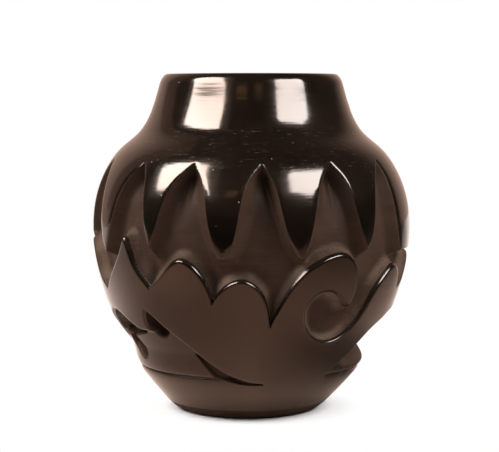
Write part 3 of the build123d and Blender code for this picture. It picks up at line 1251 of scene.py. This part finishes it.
        # Painted light over some real rubbing: the clay just above the serpent's back, where the cove faces
        # up to the lamps, is painted pale, except in the notches.
        rubbed_and_lit = bell((back + self.back_polish + self.rubbed_and_lit_below) / self.rubbed_and_lit_reach) * (1 - notch)
        # Painted shade: the deeper a hollow, the darker its clay is painted.
        deep = np.clip(painted_shade / self.shade_depth, 0, self.shade_most)
        return np.maximum(np.maximum(valley, notch), deep) - rubbed_and_lit

    def _point_polish(self, back: np.ndarray, standing: np.ndarray) -> np.ndarray:
        """The polished field of the points and the shoulder.

        Args:
            back: distance inside the outline of the serpent's back.
            standing: how far the gouges' walls lie outside the jar.

        Returns:
            About the distance inside the field, less than nought outside it.
        """
        polished = np.minimum(np.minimum(standing, -back - self.moat), self.height - self.points.tip_floor)
        polished[self.height < self.point_low] = -self.far
        return polished

    def _serpent_polish(self, back: np.ndarray, belly: np.ndarray, rim: np.ndarray) -> np.ndarray:
        """The polished field of the serpent and the foot.

        Args:
            back: distance inside the outline of the serpent's back.
            belly: distance inside the outline of its belly.
            rim: distance outside the rims of the hollows.

        Returns:
            About the distance inside the field, less than nought outside it.
        """
        off_groove = np.abs(self.height - self.pocket_crease) - self.groove_half * self.groove_bare
        pocket = np.minimum(rim - self.bare_rim, off_groove)
        polished = np.maximum(belly + self.belly_polish, pocket)
        start, end = self.bare_sides
        aside = np.abs(self.angle)
        sides = np.clip(np.minimum(aside - start, end - aside) / self.bare_fade, 0, 1)
        over = self.back_polish - sides * (self.back_polish + self.bare_back)
        polished = np.minimum(back + over, polished)
        return np.minimum(polished, self.height - self.slip_foot + self.on_row)

    def _edge_drop(self, distance: np.ndarray, rounding: float, wall: float) -> np.ndarray:
        """How far the surface falls near an edge.

        Args:
            distance: distance inside the standing field, negative outside it.
            rounding: the radius of the rounded edge.
            wall: the steepness of the wall below it.

        Returns:
            The fall, nought well inside the field.
        """
        share = np.clip(1 - distance / rounding, 0, 1)
        rounded = rounding * (1 - np.sqrt(np.maximum(1 - (share * self.edge_fullness) ** 2, 0)))
        return rounded + np.maximum(-distance, 0) * wall

    def _pocket_drop(self) -> np.ndarray:
        """How deep a pocket's floor lies under the outside.

        Returns:
            The depth, down to where the foot band rolls into the floor.
        """
        over_crease = self.height - self.pocket_crease
        above = np.clip(over_crease / self.pocket_slope, 0, 1)
        floor = self.pocket_step + (self.pocket_depth - self.pocket_step) * smooth_step(above)
        below = np.clip(over_crease / self.foot_roll + 1, 0, 1)
        return np.where(over_crease > 0, floor, self.pocket_step * below**2)

    def _hollow_drop(self, painted_shade: bool) -> tuple[np.ndarray, np.ndarray]:
        """The extra depth of the hollows in the pockets.

        Args:
            painted_shade: whether to take the hollows that get painted shade, and not the clean one.

        Returns:
            The depth, and the distance outside the hollows' rims.
        """
        foot_radius, foot = self.form.foot_band
        drop = np.zeros_like(self.angle)
        rim = np.full_like(self.angle, self.far)
        wall = self.painted_shade_wall if painted_shade else self.clean_wall
        for hollow, line in self.serpent.hollow_lines(foot):
            if hollow.painted_shade != painted_shade:
                continue
            for (angle, level), reach in zip(line, np.linspace(*hollow.reach, len(line))):
                aside = np.radians(wrapped(self.angle - angle)) * foot_radius
                gap = np.hypot(aside, self.height - level)
                share = np.clip((reach - gap) / (reach * wall), 0, 1)
                drop = np.maximum(drop, hollow.depth * smooth_step(share))
                rim = np.minimum(rim, gap - reach)
        return drop, rim

    def _signed(self, lines: list[np.ndarray], use: np.ndarray, inside_below: bool) -> np.ndarray:
        """Distance over the wall to an outline that runs round the jar.

        Args:
            lines: stretches of (degrees, height) points.
            use: the rows to measure.
            inside_below: whether the standing field is below the outline, and not above it.

        Returns:
            The distance in mm, positive inside the field, cut off far from the outline.
        """
        outer = self.form.outer()
        starts = np.concatenate([line[:-1] for line in lines])
        ends = np.concatenate([line[1:] for line in lines])
        a, b = (on_wall(ring[:, 0], outer.radius_at(ring[:, 1]), ring[:, 1]) for ring in (starts, ends))
        middle = (starts[:, 0] + ends[:, 0]) / 2
        rows = self.rows[use]
        distance = np.full((len(self.rows), self.columns), self.far)
        inside = np.zeros((len(self.rows), self.columns), bool)
        for first in range(0, self.columns, self.block):
            part = slice(first, first + self.block)
            angle = self.degrees[part]
            near = np.abs(wrapped(middle - angle.mean())) < self.window
            spot = on_wall(angle[None, :], rows[:, :1], rows[:, 1:]).reshape(-1, 3)
            best = np.full(len(spot), self.far**2)
            for origin, run in zip(a[near], (b - a)[near]):
                gap = spot - origin
                share = np.clip(gap @ run / (run @ run), 0, 1)
                gap -= share[:, None] * run
                best = np.minimum(best, np.einsum("ij,ij->i", gap, gap))
            distance[use, part] = np.sqrt(best).reshape(len(rows), -1)
            inside[use, part] = self._beyond(starts, ends, angle, rows[:, 1], inside_below)
        return np.where(inside, distance, -distance)

    def _beyond(
        self, starts: np.ndarray, ends: np.ndarray, angles: np.ndarray, heights: np.ndarray, below: bool
    ) -> np.ndarray:
        """Whether places are under an outline, or over it, by counting crossings.

        Args:
            starts: the first points of the outline's short runs.
            ends: their last points.
            angles: angles round the jar, tried just off the outline's own points.
            heights: heights.
            below: whether to look for places under the outline, and not over it.

        Returns:
            For each height and angle, whether it is there.
        """
        found = np.zeros((len(heights), len(angles)), bool)
        for column, angle in enumerate(angles + self.off_points):
            first = wrapped(starts[:, 0] - angle)
            last = first + ends[:, 0] - starts[:, 0]
            crossing = ((first <= 0) != (last <= 0)) & (np.abs(first) < self.near_side)
            share = first[crossing] / (first[crossing] - last[crossing])
            level = starts[crossing, 1] + share * (ends[crossing, 1] - starts[crossing, 1])
            over = level[None, :] > heights[:, None] if below else level[None, :] < heights[:, None]
            found[:, column] = over.sum(axis=1) % 2 == 1
        return found

    def _normals(self) -> np.ndarray:
        """Outward directions at the grid's points.

        Returns:
            An array of unit vectors.
        """
        round_jar = np.roll(self.place, -1, axis=1) - np.roll(self.place, 1, axis=1)
        up_wall = np.gradient(self.place, axis=0)
        across = np.cross(round_jar, up_wall)
        return across / np.maximum(np.linalg.norm(across, axis=-1, keepdims=True), TINY)


class ThrownRing:
    """Geometry Nodes that turn a section round the jar's axis."""

    SEGMENTS = "Segments"
    ROWS = "Rows"
    FINISH = "Finish"
    KINDS = {SEGMENTS: "NodeSocketInt", ROWS: "NodeSocketInt", FINISH: "NodeSocketMaterial"}
    SEAM = 1e-6

    def __init__(self) -> None:
        """Build the tree once, for every ring."""
        self.tree = bpy.data.node_groups.new("thrown_ring", "GeometryNodeTree")
        face = self.tree.interface
        face.new_socket("Section", in_out="INPUT", socket_type="NodeSocketGeometry")
        self.inputs: dict[str, str] = {}
        for name, kind in self.KINDS.items():
            self.inputs[name] = face.new_socket(name, in_out="INPUT", socket_type=kind).identifier
        face.new_socket("Ring", in_out="OUTPUT", socket_type="NodeSocketGeometry")
        sheet = NodeSheet(self.tree)
        given = sheet.node("NodeGroupInput")
        section = sheet.out(given, "Section")
        segments = sheet.out(given, self.SEGMENTS)
        size = sheet.node("GeometryNodeAttributeDomainSize", None, Geometry=section)
        across = segments + 1
        grid = sheet.node(
            "GeometryNodeMeshGrid", None, Vertices_X=sheet.out(size, "Point Count"), Vertices_Y=across
        )
        index = sheet.out(sheet.node("GeometryNodeInputIndex"))
        row = sheet.math("FLOOR", (index + 0.5) / across)
        column = index - row * across
        here = sheet.out(sheet.node("GeometryNodeInputPosition"))
        picked = sheet.node(
            "GeometryNodeSampleIndex", {"data_type": "FLOAT_VECTOR"}, Geometry=section, Value=here, Index=row
        )
        spot = sheet.node("ShaderNodeSeparateXYZ", None, Vector=sheet.out(picked))
        angle = column * math.tau / segments - math.pi
        radius = sheet.out(spot, "X")
        turned = sheet.node(
            "ShaderNodeCombineXYZ",
            None,
            X=radius * sheet.math("SINE", angle),
            Y=radius * sheet.math("COSINE", angle) * -1,
            Z=sheet.out(spot, "Z"),
        )
        mesh = sheet.out(grid, "Mesh")
        rows = sheet.out(given, self.ROWS)
        for name, value in (("row", row % rows), ("column", column % segments)):
            kept = sheet.node(
                "GeometryNodeStoreNamedAttribute",
                {"data_type": "INT", "domain": "POINT"},
                Geometry=mesh,
                Name=name,
                Value=value,
            )
            mesh = sheet.out(kept)
        moved = sheet.node("GeometryNodeSetPosition", None, Geometry=mesh, Position=sheet.out(turned))
        closed = sheet.node(
            "GeometryNodeMergeByDistance", None, Geometry=sheet.out(moved), Distance=self.SEAM
        )
        smooth = sheet.node("GeometryNodeSetShadeSmooth", None, Geometry=sheet.out(closed))
        real = sheet.node("GeometryNodeRealizeInstances", None, Geometry=sheet.out(smooth))
        finish = sheet.out(given, self.FINISH)
        done = sheet.node("GeometryNodeSetMaterial", None, Geometry=sheet.out(real), Material=finish)
        sheet.node("NodeGroupOutput", None, Ring=sheet.out(done))

    def throw(
        self, name: str, section: np.ndarray, segments: int, finish: bpy.types.Material
    ) -> bpy.types.Object:
        """Turn a section into a ring.

        Args:
            name: the piece's name.
            section: (radius, height) rows in mm; a closed section repeats its first point.
            segments: faces round the jar.
            finish: the piece's material.

        Returns:
            A plain mesh object whose points keep their row and column as attributes.
        """
        line = bpy.data.meshes.new(name + "_section")
        spots = [(radius * MM, 0.0, height * MM) for radius, height in section]
        line.from_pydata(spots, [(i, i + 1) for i in range(len(spots) - 1)], [])
        blank = stand(name + "_blank", line)
        turning = blank.modifiers.new("thrown", "NODES")
        turning.node_group = self.tree
        turning[self.inputs[self.SEGMENTS]] = segments
        turning[self.inputs[self.ROWS]] = len(section) - int(np.allclose(section[0], section[-1]))
        turning[self.inputs[self.FINISH]] = finish
        graph = bpy.context.evaluated_depsgraph_get()
        mesh = bpy.data.meshes.new_from_object(blank.evaluated_get(graph))
        blank.modifiers.remove(turning)
        bpy.data.objects.remove(blank)
        bpy.data.meshes.remove(line)
        mesh.name = name
        return stand(name, mesh)


def read_numbers(mesh: bpy.types.Mesh, name: str) -> np.ndarray:
    """Read a whole-number point attribute.

    Args:
        mesh: the mesh.
        name: the attribute's name.

    Returns:
        One number for each point.
    """
    values = np.zeros(len(mesh.vertices), np.int32)
    mesh.attributes[name].data.foreach_get("value", values)
    return values


def mark_points(mesh: bpy.types.Mesh, name: str, values: np.ndarray) -> None:
    """Keep a value for each of a mesh's points, as an attribute."""
    mesh.attributes.new(name, "FLOAT", "POINT").data.foreach_set("value", values.astype(np.float32))


def read_points(mesh: bpy.types.Mesh) -> np.ndarray:
    """Read where a mesh's points are.

    Args:
        mesh: the mesh.

    Returns:
        The points as rows.
    """
    values = np.zeros(len(mesh.vertices) * 3, np.float32)
    mesh.vertices.foreach_get("co", values)
    return values.reshape(-1, 3).astype(float)


def signed_volume(mesh: bpy.types.Mesh) -> float:
    """The volume of a closed mesh.

    Args:
        mesh: the mesh.

    Returns:
        Its volume, negative where its faces point inwards.
    """
    mesh.calc_loop_triangles()
    corners = np.zeros(len(mesh.loop_triangles) * 3, np.int32)
    mesh.loop_triangles.foreach_get("vertices", corners)
    a, b, c = read_points(mesh)[corners.reshape(-1, 3)].transpose(1, 0, 2)
    return float(np.einsum("ij,ij->i", a, np.cross(b, c)).sum() / 6)


def face_outwards(mesh: bpy.types.Mesh) -> None:
    """Turn a closed mesh's faces outwards."""
    if signed_volume(mesh) < 0:
        mesh.flip_normals()


@dataclass
class ClayCourse:
    """One course of the wall, the base pat or a coil: thrown as a blank, then carved."""

    name: str
    form: JarForm
    surface: CarvedSurface
    low_row: int
    high_row: int
    bottom: Optional[float]
    top: Optional[float]
    inner_step: float = 2.5
    bottom_radii: tuple[float, ...] = (0.0, 8.0, 16.0, 23.0)
    floor_radii: tuple[float, ...] = (11.0, 5.5, 0.0)
    floor_margin: float = 1.0
    scrape: float = 0.25
    scrape_core: float = 20.0
    ripple_count: int = 9
    ripple_length: float = 4.0
    ring_share: float = 0.7
    ring_length: float = 2.6
    ring_sway: float = 2.0
    ring_lobes: int = 3
    joint_angle: float = 55.0

    def section(self) -> tuple[np.ndarray, int]:
        """The blank's section.

        Returns:
            Its points, and how many of them come before the outside's rows.
        """
        inner = self.form.inner()
        lap = self.form.lap_rise
        low = self.form.floor_thickness if self.bottom is None else self.bottom + lap
        high = self.form.lip[1] if self.top is None else self.top + lap
        outside = self.surface.rows[self.low_row:self.high_row + 1]
        inside = inner.walk(low, high, self.inner_step)[::-1]
        if self.top is None:
            inside = inside[1:]
        if self.bottom is None:
            under = np.array([(radius, 0.0) for radius in self.bottom_radii])
            floor = np.array([(radius, low) for radius in self.floor_radii])
            return np.concatenate([under, outside, inside, floor]), len(under)
        return np.concatenate([outside, inside, outside[:1]]), 0

    def build(self, wheel: ThrownRing, finish: bpy.types.Material) -> bpy.types.Object:
        """Throw the blank and carve it.

        Args:
            wheel: the tree that turns sections.
            finish: the clay's material.

        Returns:
            The course, in place.
        """
        section, before = self.section()
        made = wheel.throw(self.name, section, self.surface.columns, finish)
        mesh = made.data
        place = read_points(mesh) / MM
        row = read_numbers(mesh, "row") - before
        outside = (row >= 0) & (row <= self.high_row - self.low_row)
        spots = self.low_row + row[outside], read_numbers(mesh, "column")[outside]
        inside = ~outside & (place[:, 2] > self.form.floor_thickness - self.floor_margin)
        place = self.surface.hand_set(self._scraped(place, inside))
        place[outside] = self.surface.clay()[spots]
        mesh.vertices.foreach_set("co", (place * MM).astype(np.float32).ravel())
        painted_shade_and_light = np.zeros(len(place))
        painted_shade_and_light[outside] = self.surface.painted_shade_and_light[spots]
        mark_points(mesh, "painted_shade_and_light", painted_shade_and_light)
        for name in ("row", "column"):
            mesh.attributes.remove(mesh.attributes[name])
        mesh.update()
        face_outwards(mesh)
        mesh.set_sharp_from_angle(angle=math.radians(self.joint_angle))
        return made

    def _scraped(self, place: np.ndarray, inside: np.ndarray) -> np.ndarray:
        """Let the inside ripple as a scraper leaves it.

        Args:
            place: the blank's points, in mm.
            inside: which of them are on the inside.

        Returns:
            The points, with those on the inside moved.
        """
        angle = np.arctan2(place[:, 0], -place[:, 1])
        height = place[:, 2]
        sway = self.ring_sway * np.sin(self.ring_lobes * angle)
        ripple = np.sin(self.ripple_count * angle + height / self.ripple_length)
        ripple = ripple + self.ring_share * np.sin(height / self.ring_length + sway)
        radius = np.hypot(place[:, 0], place[:, 1])
        fade = np.clip(radius / self.scrape_core, 0, 1) / np.maximum(radius, self.scrape_core)
        grow = 1 + inside * self.scrape * ripple * fade
        return place * np.stack([grow, grow, np.ones_like(grow)], axis=1)


@dataclass
class SlipCoat:
    """A coat of polished slip on a standing field, as a thin closed skin with a clean edge."""

    name: str
    surface: CarvedSurface
    standing: np.ndarray
    high_row: int
    worn_reach: float
    edge_angle: float = 50.0
    edge_margin: float = 0.02
    block_sizes: tuple[int, ...] = (4, 2)
    flat_angle: float = 3.0

    def build(self, finish: bpy.types.Material) -> bpy.types.Object:
        """Cut the skin out of the carved surface and give it its thickness.

        Args:
            finish: the slip's material.

        Returns:
            The coat, in place.
        """
        top, under, inset, faces = self._cut()
        count = len(top)
        spots = np.concatenate([top, under]) * MM
        back = [tuple(count + i for i in reversed(face)) for face in faces]
        edge = [(b, a, count + a, count + b) for a, b in self._rim(faces)]
        mesh = bpy.data.meshes.new(self.name)
        mesh.from_pydata(spots.tolist(), [], faces + back + edge)
        mesh.update()
        face_outwards(mesh)
        mark_points(mesh, "worn", np.clip(1 - np.tile(inset, 2) / self.worn_reach, 0, 1))
        mesh.polygons.foreach_set("use_smooth", np.ones(len(mesh.polygons), bool))
        mesh.set_sharp_from_angle(angle=math.radians(self.edge_angle))
        mesh.materials.append(finish)
        return stand(self.name, mesh)

    def _cut(self) -> tuple[np.ndarray, np.ndarray, np.ndarray, list[tuple[int, ...]]]:
        """Cut the grid at the field's edge.

        Returns:
            The skin's outer and inner points, how far they lie inside the field's edge, and its faces.
        """
        columns = self.surface.columns
        rows = slice(0, self.high_row + 1)
        level = self.standing[rows].ravel()
        place = self.surface.place[rows].reshape(-1, 3)
        normal = self.surface.normal[rows].reshape(-1, 3)
        row, column = np.meshgrid(np.arange(self.high_row), np.arange(columns), indexing="ij")
        low = row * columns
        high = low + columns
        after = (column + 1) % columns
        quads = np.stack([low + column, low + after, high + after, high + column], axis=-1).reshape(-1, 4)
        standing = level[quads] > 0
        whole = standing.all(axis=1)
        cut = quads[standing.any(axis=1) & ~whole]
        faces = self._whole_faces(whole.reshape(-1, columns), quads, np.unique(cut))
        extra: dict[tuple[int, int], int] = {}
        ends: list[tuple[int, int, float]] = []
        for quad in cut.tolist():
            faces += self._clipped(quad, level, extra, ends)
        if ends:
            first, last, share = (np.array(values) for values in zip(*ends))
            share = share[:, None]
            place = np.concatenate([place, place[first] * (1 - share) + place[last] * share])
            normal = np.concatenate([normal, normal[first] * (1 - share) + normal[last] * share])
            normal /= np.linalg.norm(normal, axis=1, keepdims=True)
            level = np.concatenate([level, np.zeros(len(ends))])
        used = np.unique(np.concatenate([np.array(face) for face in faces]))
        renumber = np.full(len(place), -1)
        renumber[used] = np.arange(len(used))
        faces = [tuple(int(renumber[i]) for i in face) for face in faces]
        under = place[used] - normal[used] * self.surface.slip_thickness
        return place[used], under, level[used], faces

    def _whole_faces(self, whole: np.ndarray, quads: np.ndarray, kept: np.ndarray) -> list[tuple[int, ...]]:
        """Faces that lie wholly on the field, in large blocks where the surface hardly turns.

        Args:
            whole: for each row and column, whether that face is wholly on the field.
            quads: the corners of all faces.
            kept: points that the cut faces use.

        Returns:
            The faces, as loops of points.
        """
        rows, columns = whole.shape
        free = whole.copy()
        needed = np.zeros((rows + 1) * columns, bool)
        needed[kept] = True
        loops = []
        for size in self.block_sizes:
            for i, j in np.argwhere(self._flat_blocks(free, size)) * size:
                free[i:i + size, j:j + size] = False
                loop = self._block_loop(i, j, size)
                needed[loop[::size]] = True
                loops.append(loop)
        single = quads[free.ravel()]
        needed[single] = True
        faces = [tuple(quad) for quad in single.tolist()]
        return faces + [tuple(int(i) for i in loop if needed[i]) for loop in loops]

    def _flat_blocks(self, free: np.ndarray, size: int) -> np.ndarray:
        """Find the square blocks of faces that are free and nearly flat.

        Args:
            free: for each row and column, whether that face is free.
            size: faces along a block's side.

        Returns:
            For each block, whether it is.
        """
        rows, columns = free.shape
        high = rows // size
        blocks = free[:high * size].reshape(high, size, columns // size, size).all(axis=(1, 3))
        normal = self.surface.normal
        at = np.arange(high)[:, None] * size
        across = np.arange(columns // size)[None, :] * size
        middle = normal[at + size // 2, across + size // 2]
        for up in (0, size // 2, size):
            for along in (0, size // 2, size):
                turned = (middle * normal[at + up, (across + along) % columns]).sum(axis=-1)
                blocks &= turned > math.cos(math.radians(self.flat_angle))
        return blocks

    def _block_loop(self, row: int, column: int, size: int) -> list[int]:
        """The points round a block of faces.

        Args:
            row: the block's first row.
            column: its first column.
            size: faces along its side.

        Returns:
            The points' numbers, in the faces' own order.
        """
        columns = self.surface.columns
        steps = range(size)
        spots = [(row, column + k) for k in steps] + [(row + k, column + size) for k in steps]
        spots += [(row + size, column + size - k) for k in steps] + [(row + size - k, column) for k in steps]
        return [int(i * columns + j % columns) for i, j in spots]

    def _clipped(
        self, quad: list[int], level: np.ndarray, extra: dict, ends: list
    ) -> list[tuple[int, ...]]:
        """The standing part of one face, with new points where its edges cross the field's edge.

        Args:
            quad: the face's corners.
            level: how far each point stands.
            extra: the new points' numbers by the edge that they lie on, which grows.
            ends: each new point's edge and its share along it, which grows.

        Returns:
            One loop of points, or none.
        """
        loop: list[int] = []
        for a, b in zip(quad, quad[1:] + quad[:1]):
            if level[a] > 0:
                loop.append(a)
            if (level[a] > 0) != (level[b] > 0):
                key = (min(a, b), max(a, b))
                if key not in extra:
                    extra[key] = len(level) + len(ends)
                    low, high = level[key[0]], level[key[1]]
                    share = np.clip(low / (low - high), self.edge_margin, 1 - self.edge_margin)
                    ends.append((*key, float(share)))
                loop.append(extra[key])
        return [tuple(loop)] if len(loop) > 2 else []

    @staticmethod
    def _rim(faces: list[tuple[int, ...]]) -> list[tuple[int, int]]:
        """The edges that only one face has.

        Args:
            faces: loops of points.

        Returns:
            Pairs of points, in the order of their face.
        """
        seen = set()
        for face in faces:
            for a, b in zip(face, face[1:] + face[:1]):
                if (b, a) in seen:
                    seen.discard((b, a))
                else:
                    seen.add((a, b))
        return sorted(seen)


@dataclass
class CarvedJar:
    """The whole jar, course by course, with its two coats of slip."""

    form: JarForm = field(default_factory=JarForm)
    points: PendantPoints = field(default_factory=PendantPoints)
    serpent: WaterSerpent = field(default_factory=WaterSerpent)
    clay: SmokedClay = field(default_factory=SmokedClay)
    slip: PolishedSlip = field(default_factory=PolishedSlip)
    courses: tuple[str, ...] = (
        "base_pat", "lower_wall_coil", "hip_coil", "belly_coil", "upper_belly_coil", "shoulder_coil",
        "neck_coil", "rim_coil",
    )
    serpent_worn_reach: float = 1.9
    shoulder_worn_reach: float = 0.3
    body: str = "root"

    def build(self) -> list[bpy.types.Object]:
        """Make every piece and set it on the frame.

        Returns:
            The pieces, from the base up, then the slip.
        """
        surface = CarvedSurface(self.form, self.points, self.serpent)
        wheel = ThrownRing()
        clay = self.clay.material()
        slip = self.slip.material()
        last = len(surface.rows) - 1
        marks = [0, *surface.joint_rows, last]
        heights = [None, *self.form.joints, None]
        pieces = []
        for index, node in enumerate(self.courses):
            low, high = marks[index:index + 2]
            bottom, top = heights[index:index + 2]
            course = ClayCourse(node + "_carved", self.form, surface, low, high, bottom, top)
            pieces.append(self._set(course.build(wheel, clay), node))
        coats = (
            ("serpent_slip", surface.serpent_field, surface.lip_row, self.serpent_worn_reach),
            ("shoulder_slip", surface.point_field, last, self.shoulder_worn_reach),
        )
        for node, standing, high, worn_reach in coats:
            coat = SlipCoat(node + "_coat", surface, standing, high, worn_reach)
            pieces.append(self._set(coat.build(slip), node))
        return pieces

    def _set(self, piece: bpy.types.Object, node: str) -> bpy.types.Object:
        """Stand a piece on the frame in place of its node.

        Args:
            piece: the dressed piece.
            node: the frame's node.

        Returns:
            The piece.
        """
        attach(piece, self.body)
        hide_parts(node)
        return piece


@dataclass(frozen=True)
class Softbox:
    """A lit panel that the polish mirrors, given by the directions of its corners from the jar."""

    name: str
    corners: tuple[Point, ...]
    distance: float
    strength: float
    tint: Colour
    aim: Vector = (0.0, 0.0, 0.12)

    def build(self) -> None:
        """Hang the panel, seen by mirrored rays alone."""
        spots = [self.aim + self.distance * away_from_jar(*corner) for corner in self.corners]
        mesh = bpy.data.meshes.new(self.name)
        mesh.from_pydata([spot.tolist() for spot in spots], [], [tuple(range(len(spots)))])
        glow, sheet = new_finish(self.name)
        sheet.surface(sheet.node("ShaderNodeEmission", None, Color=self.tint, Strength=self.strength))
        mesh.materials.append(glow)
        panel = stand(self.name, mesh)
        panel.visible_camera = False
        panel.visible_diffuse = False
        panel.visible_shadow = False


@dataclass(frozen=True)
class Lamp:
    """A soft lamp that lights the jar but isn't mirrored in it."""

    name: str
    azimuth: float
    elevation: float
    power: float
    size: float
    distance: float = 1.1
    aim: Vector = (0.0, 0.0, 0.08)

    def build(self) -> None:
        """Hang the lamp and aim it at the jar."""
        light = bpy.data.lights.new(self.name, "AREA")
        light.energy = self.power
        light.size = self.size
        lamp = stand(self.name, light)
        lamp.location = self.aim + self.distance * away_from_jar(self.azimuth, self.elevation)
        lamp.rotation_euler = (math.radians(90 - self.elevation), 0.0, math.radians(self.azimuth))
        lamp.visible_glossy = False


@dataclass(frozen=True)
class Studio:
    """The pale floor, the lamps, the room that the polish mirrors, and the camera."""

    paper: StudioPaper = StudioPaper()
    floor_half: float = 1.8
    floor_front: float = -0.36
    camera_place: Vector = (-0.00075, -0.720, 0.1378)
    camera_pitch: float = 4.587
    camera_clip: float = 0.01
    focal_px: float = 1632.8
    frame_px: int = 499
    sensor_mm: float = 36.0
    softboxes: tuple[Softbox, ...] = (
        Softbox(
            "softbox_left",
            ((-34, 29.5), (-76, 23.5), (-91, 41.5), (-82.7, 50), (-71, 55.5), (-51, 58.5)),
            0.9, 26.0, (0.89, 0.96, 1.0),
        ),
        Softbox(
            "softbox_right",
            ((30, 31), (44, 25.5), (70, 25), (74, 40), (71.5, 46), (58.4, 48), (41, 50.5), (34.5, 46)),
            0.9, 23.0, (0.83, 0.99, 1.12),
        ),
        Softbox(
            "spill_left",
            ((-25, 26), (-82, 18), (-98, 41), (-87, 56), (-71, 64), (-45, 67)),
            1.5, 0.45, (1.0, 0.92, 0.86),
        ),
        Softbox(
            "spill_right",
            ((24, 29), (42, 20), (74, 20), (81, 41), (75, 52), (58, 55), (40, 57), (27, 48)),
            1.5, 0.4, (1.0, 0.92, 0.86),
        ),
        Softbox(
            "ceiling_lamp_left",
            ((-19, 28.5), (-5, 28.5), (-5, 33), (-19, 33)),
            0.9, 1.1, (1.0, 0.72, 0.40),
        ),
        Softbox(
            "ceiling_lamp_right",
            ((6, 28.5), (15, 28.5), (15, 33), (6, 33)),
            0.9, 0.8, (1.0, 0.72, 0.42),
        ),
        Softbox(
            "door_left",
            ((-126, 2), (-106, 2), (-106, 62), (-126, 62)),
            0.9, 0.36, (1.0, 0.66, 0.52),
        ),
    )
    lamps: tuple[Lamp, ...] = (Lamp("lamp_0", -84, 43, 20.0, 0.6), Lamp("lamp_1", 76, 41, 16.0, 0.5))
    room: float = 0.01
    mirrored_front: float = 0.012
    mirrored_ceiling: float = 0.11
    ceiling_rise: Span = (0.12, 0.5)
    mirrored_back: float = 0.8
    back_way: Vector = (-0.2, 0.98, 0.0)
    back_turn: Span = (0.3, 0.9)
    mirrored_tint: Colour = (1.0, 0.68, 0.54)

    def build(self) -> None:
        """Set up everything that isn't the jar."""
        self._floor()
        for light in (*self.softboxes, *self.lamps):
            light.build()
        self._room()
        self._camera()
        bpy.context.scene.view_settings.view_transform = "Standard"

    def _floor(self) -> None:
        """Lay the paper."""
        half, front = self.floor_half, self.floor_front
        corners = [(-half, front, 0), (half, front, 0), (half, half, 0), (-half, half, 0)]
        mesh = bpy.data.meshes.new("paper_floor")
        mesh.from_pydata(corners, [], [(0, 1, 2, 3)])
        mesh.materials.append(self.paper.material())
        floor = stand("paper_floor", mesh)

    def _room(self) -> None:
        """Light the room: white to the camera, soft to matt clay, dim with a pale back to the polish."""
        world = bpy.data.worlds.new("room")
        bpy.context.scene.world = world
        world.use_nodes = True
        sheet = NodeSheet(world.node_tree)
        rays = sheet.node("ShaderNodeLightPath")
        way = sheet.out(sheet.node("ShaderNodeTexCoord"), "Generated")
        behind = sheet.ease(sheet.dot(way, self.back_way), *self.back_turn)
        above = sheet.ease(sheet.dot(way, UP), *self.ceiling_rise)
        mirrored = self.mirrored_front + (self.mirrored_ceiling - self.mirrored_front) * above
        mirrored = mirrored + behind * (self.mirrored_back - mirrored)
        seen = sheet.out(rays, "Is Camera Ray")
        glossy = sheet.out(rays, "Is Glossy Ray")
        other = self.room + glossy * (mirrored - self.room)
        strength = other + seen * (1 - other)
        tint = sheet.blend(seen, self.mirrored_tint, WHITE)
        sky = sheet.node("ShaderNodeBackground", None, Color=tint, Strength=strength)
        sheet.node("ShaderNodeOutputWorld", None, Surface=sheet.out(sky))

    def _camera(self) -> None:
        """Stand the camera where the photograph was taken from."""
        lens = bpy.data.cameras.new("camera")
        lens.sensor_width = self.sensor_mm
        lens.lens = self.focal_px * self.sensor_mm / self.frame_px
        lens.clip_start = self.camera_clip
        camera = stand("camera", lens)
        camera.location = self.camera_place
        camera.rotation_euler = (math.radians(90 - self.camera_pitch), 0.0, 0.0)
        bpy.context.scene.camera = camera


def main() -> None:
    """Load the frame, build the jar and the studio, and report each piece."""
    logging.basicConfig(level=logging.INFO, format="%(message)s")
    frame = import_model()
    LOG.info("frame has %d nodes", len(frame["nodes"]))
    for piece in CarvedJar().build():
        volume = signed_volume(piece.data) / CM3
        LOG.info("%s: %d triangles, %.1f cm3", piece.name, len(piece.data.loop_triangles), volume)
    Studio().build()


if __name__ == "__main__":
    main()
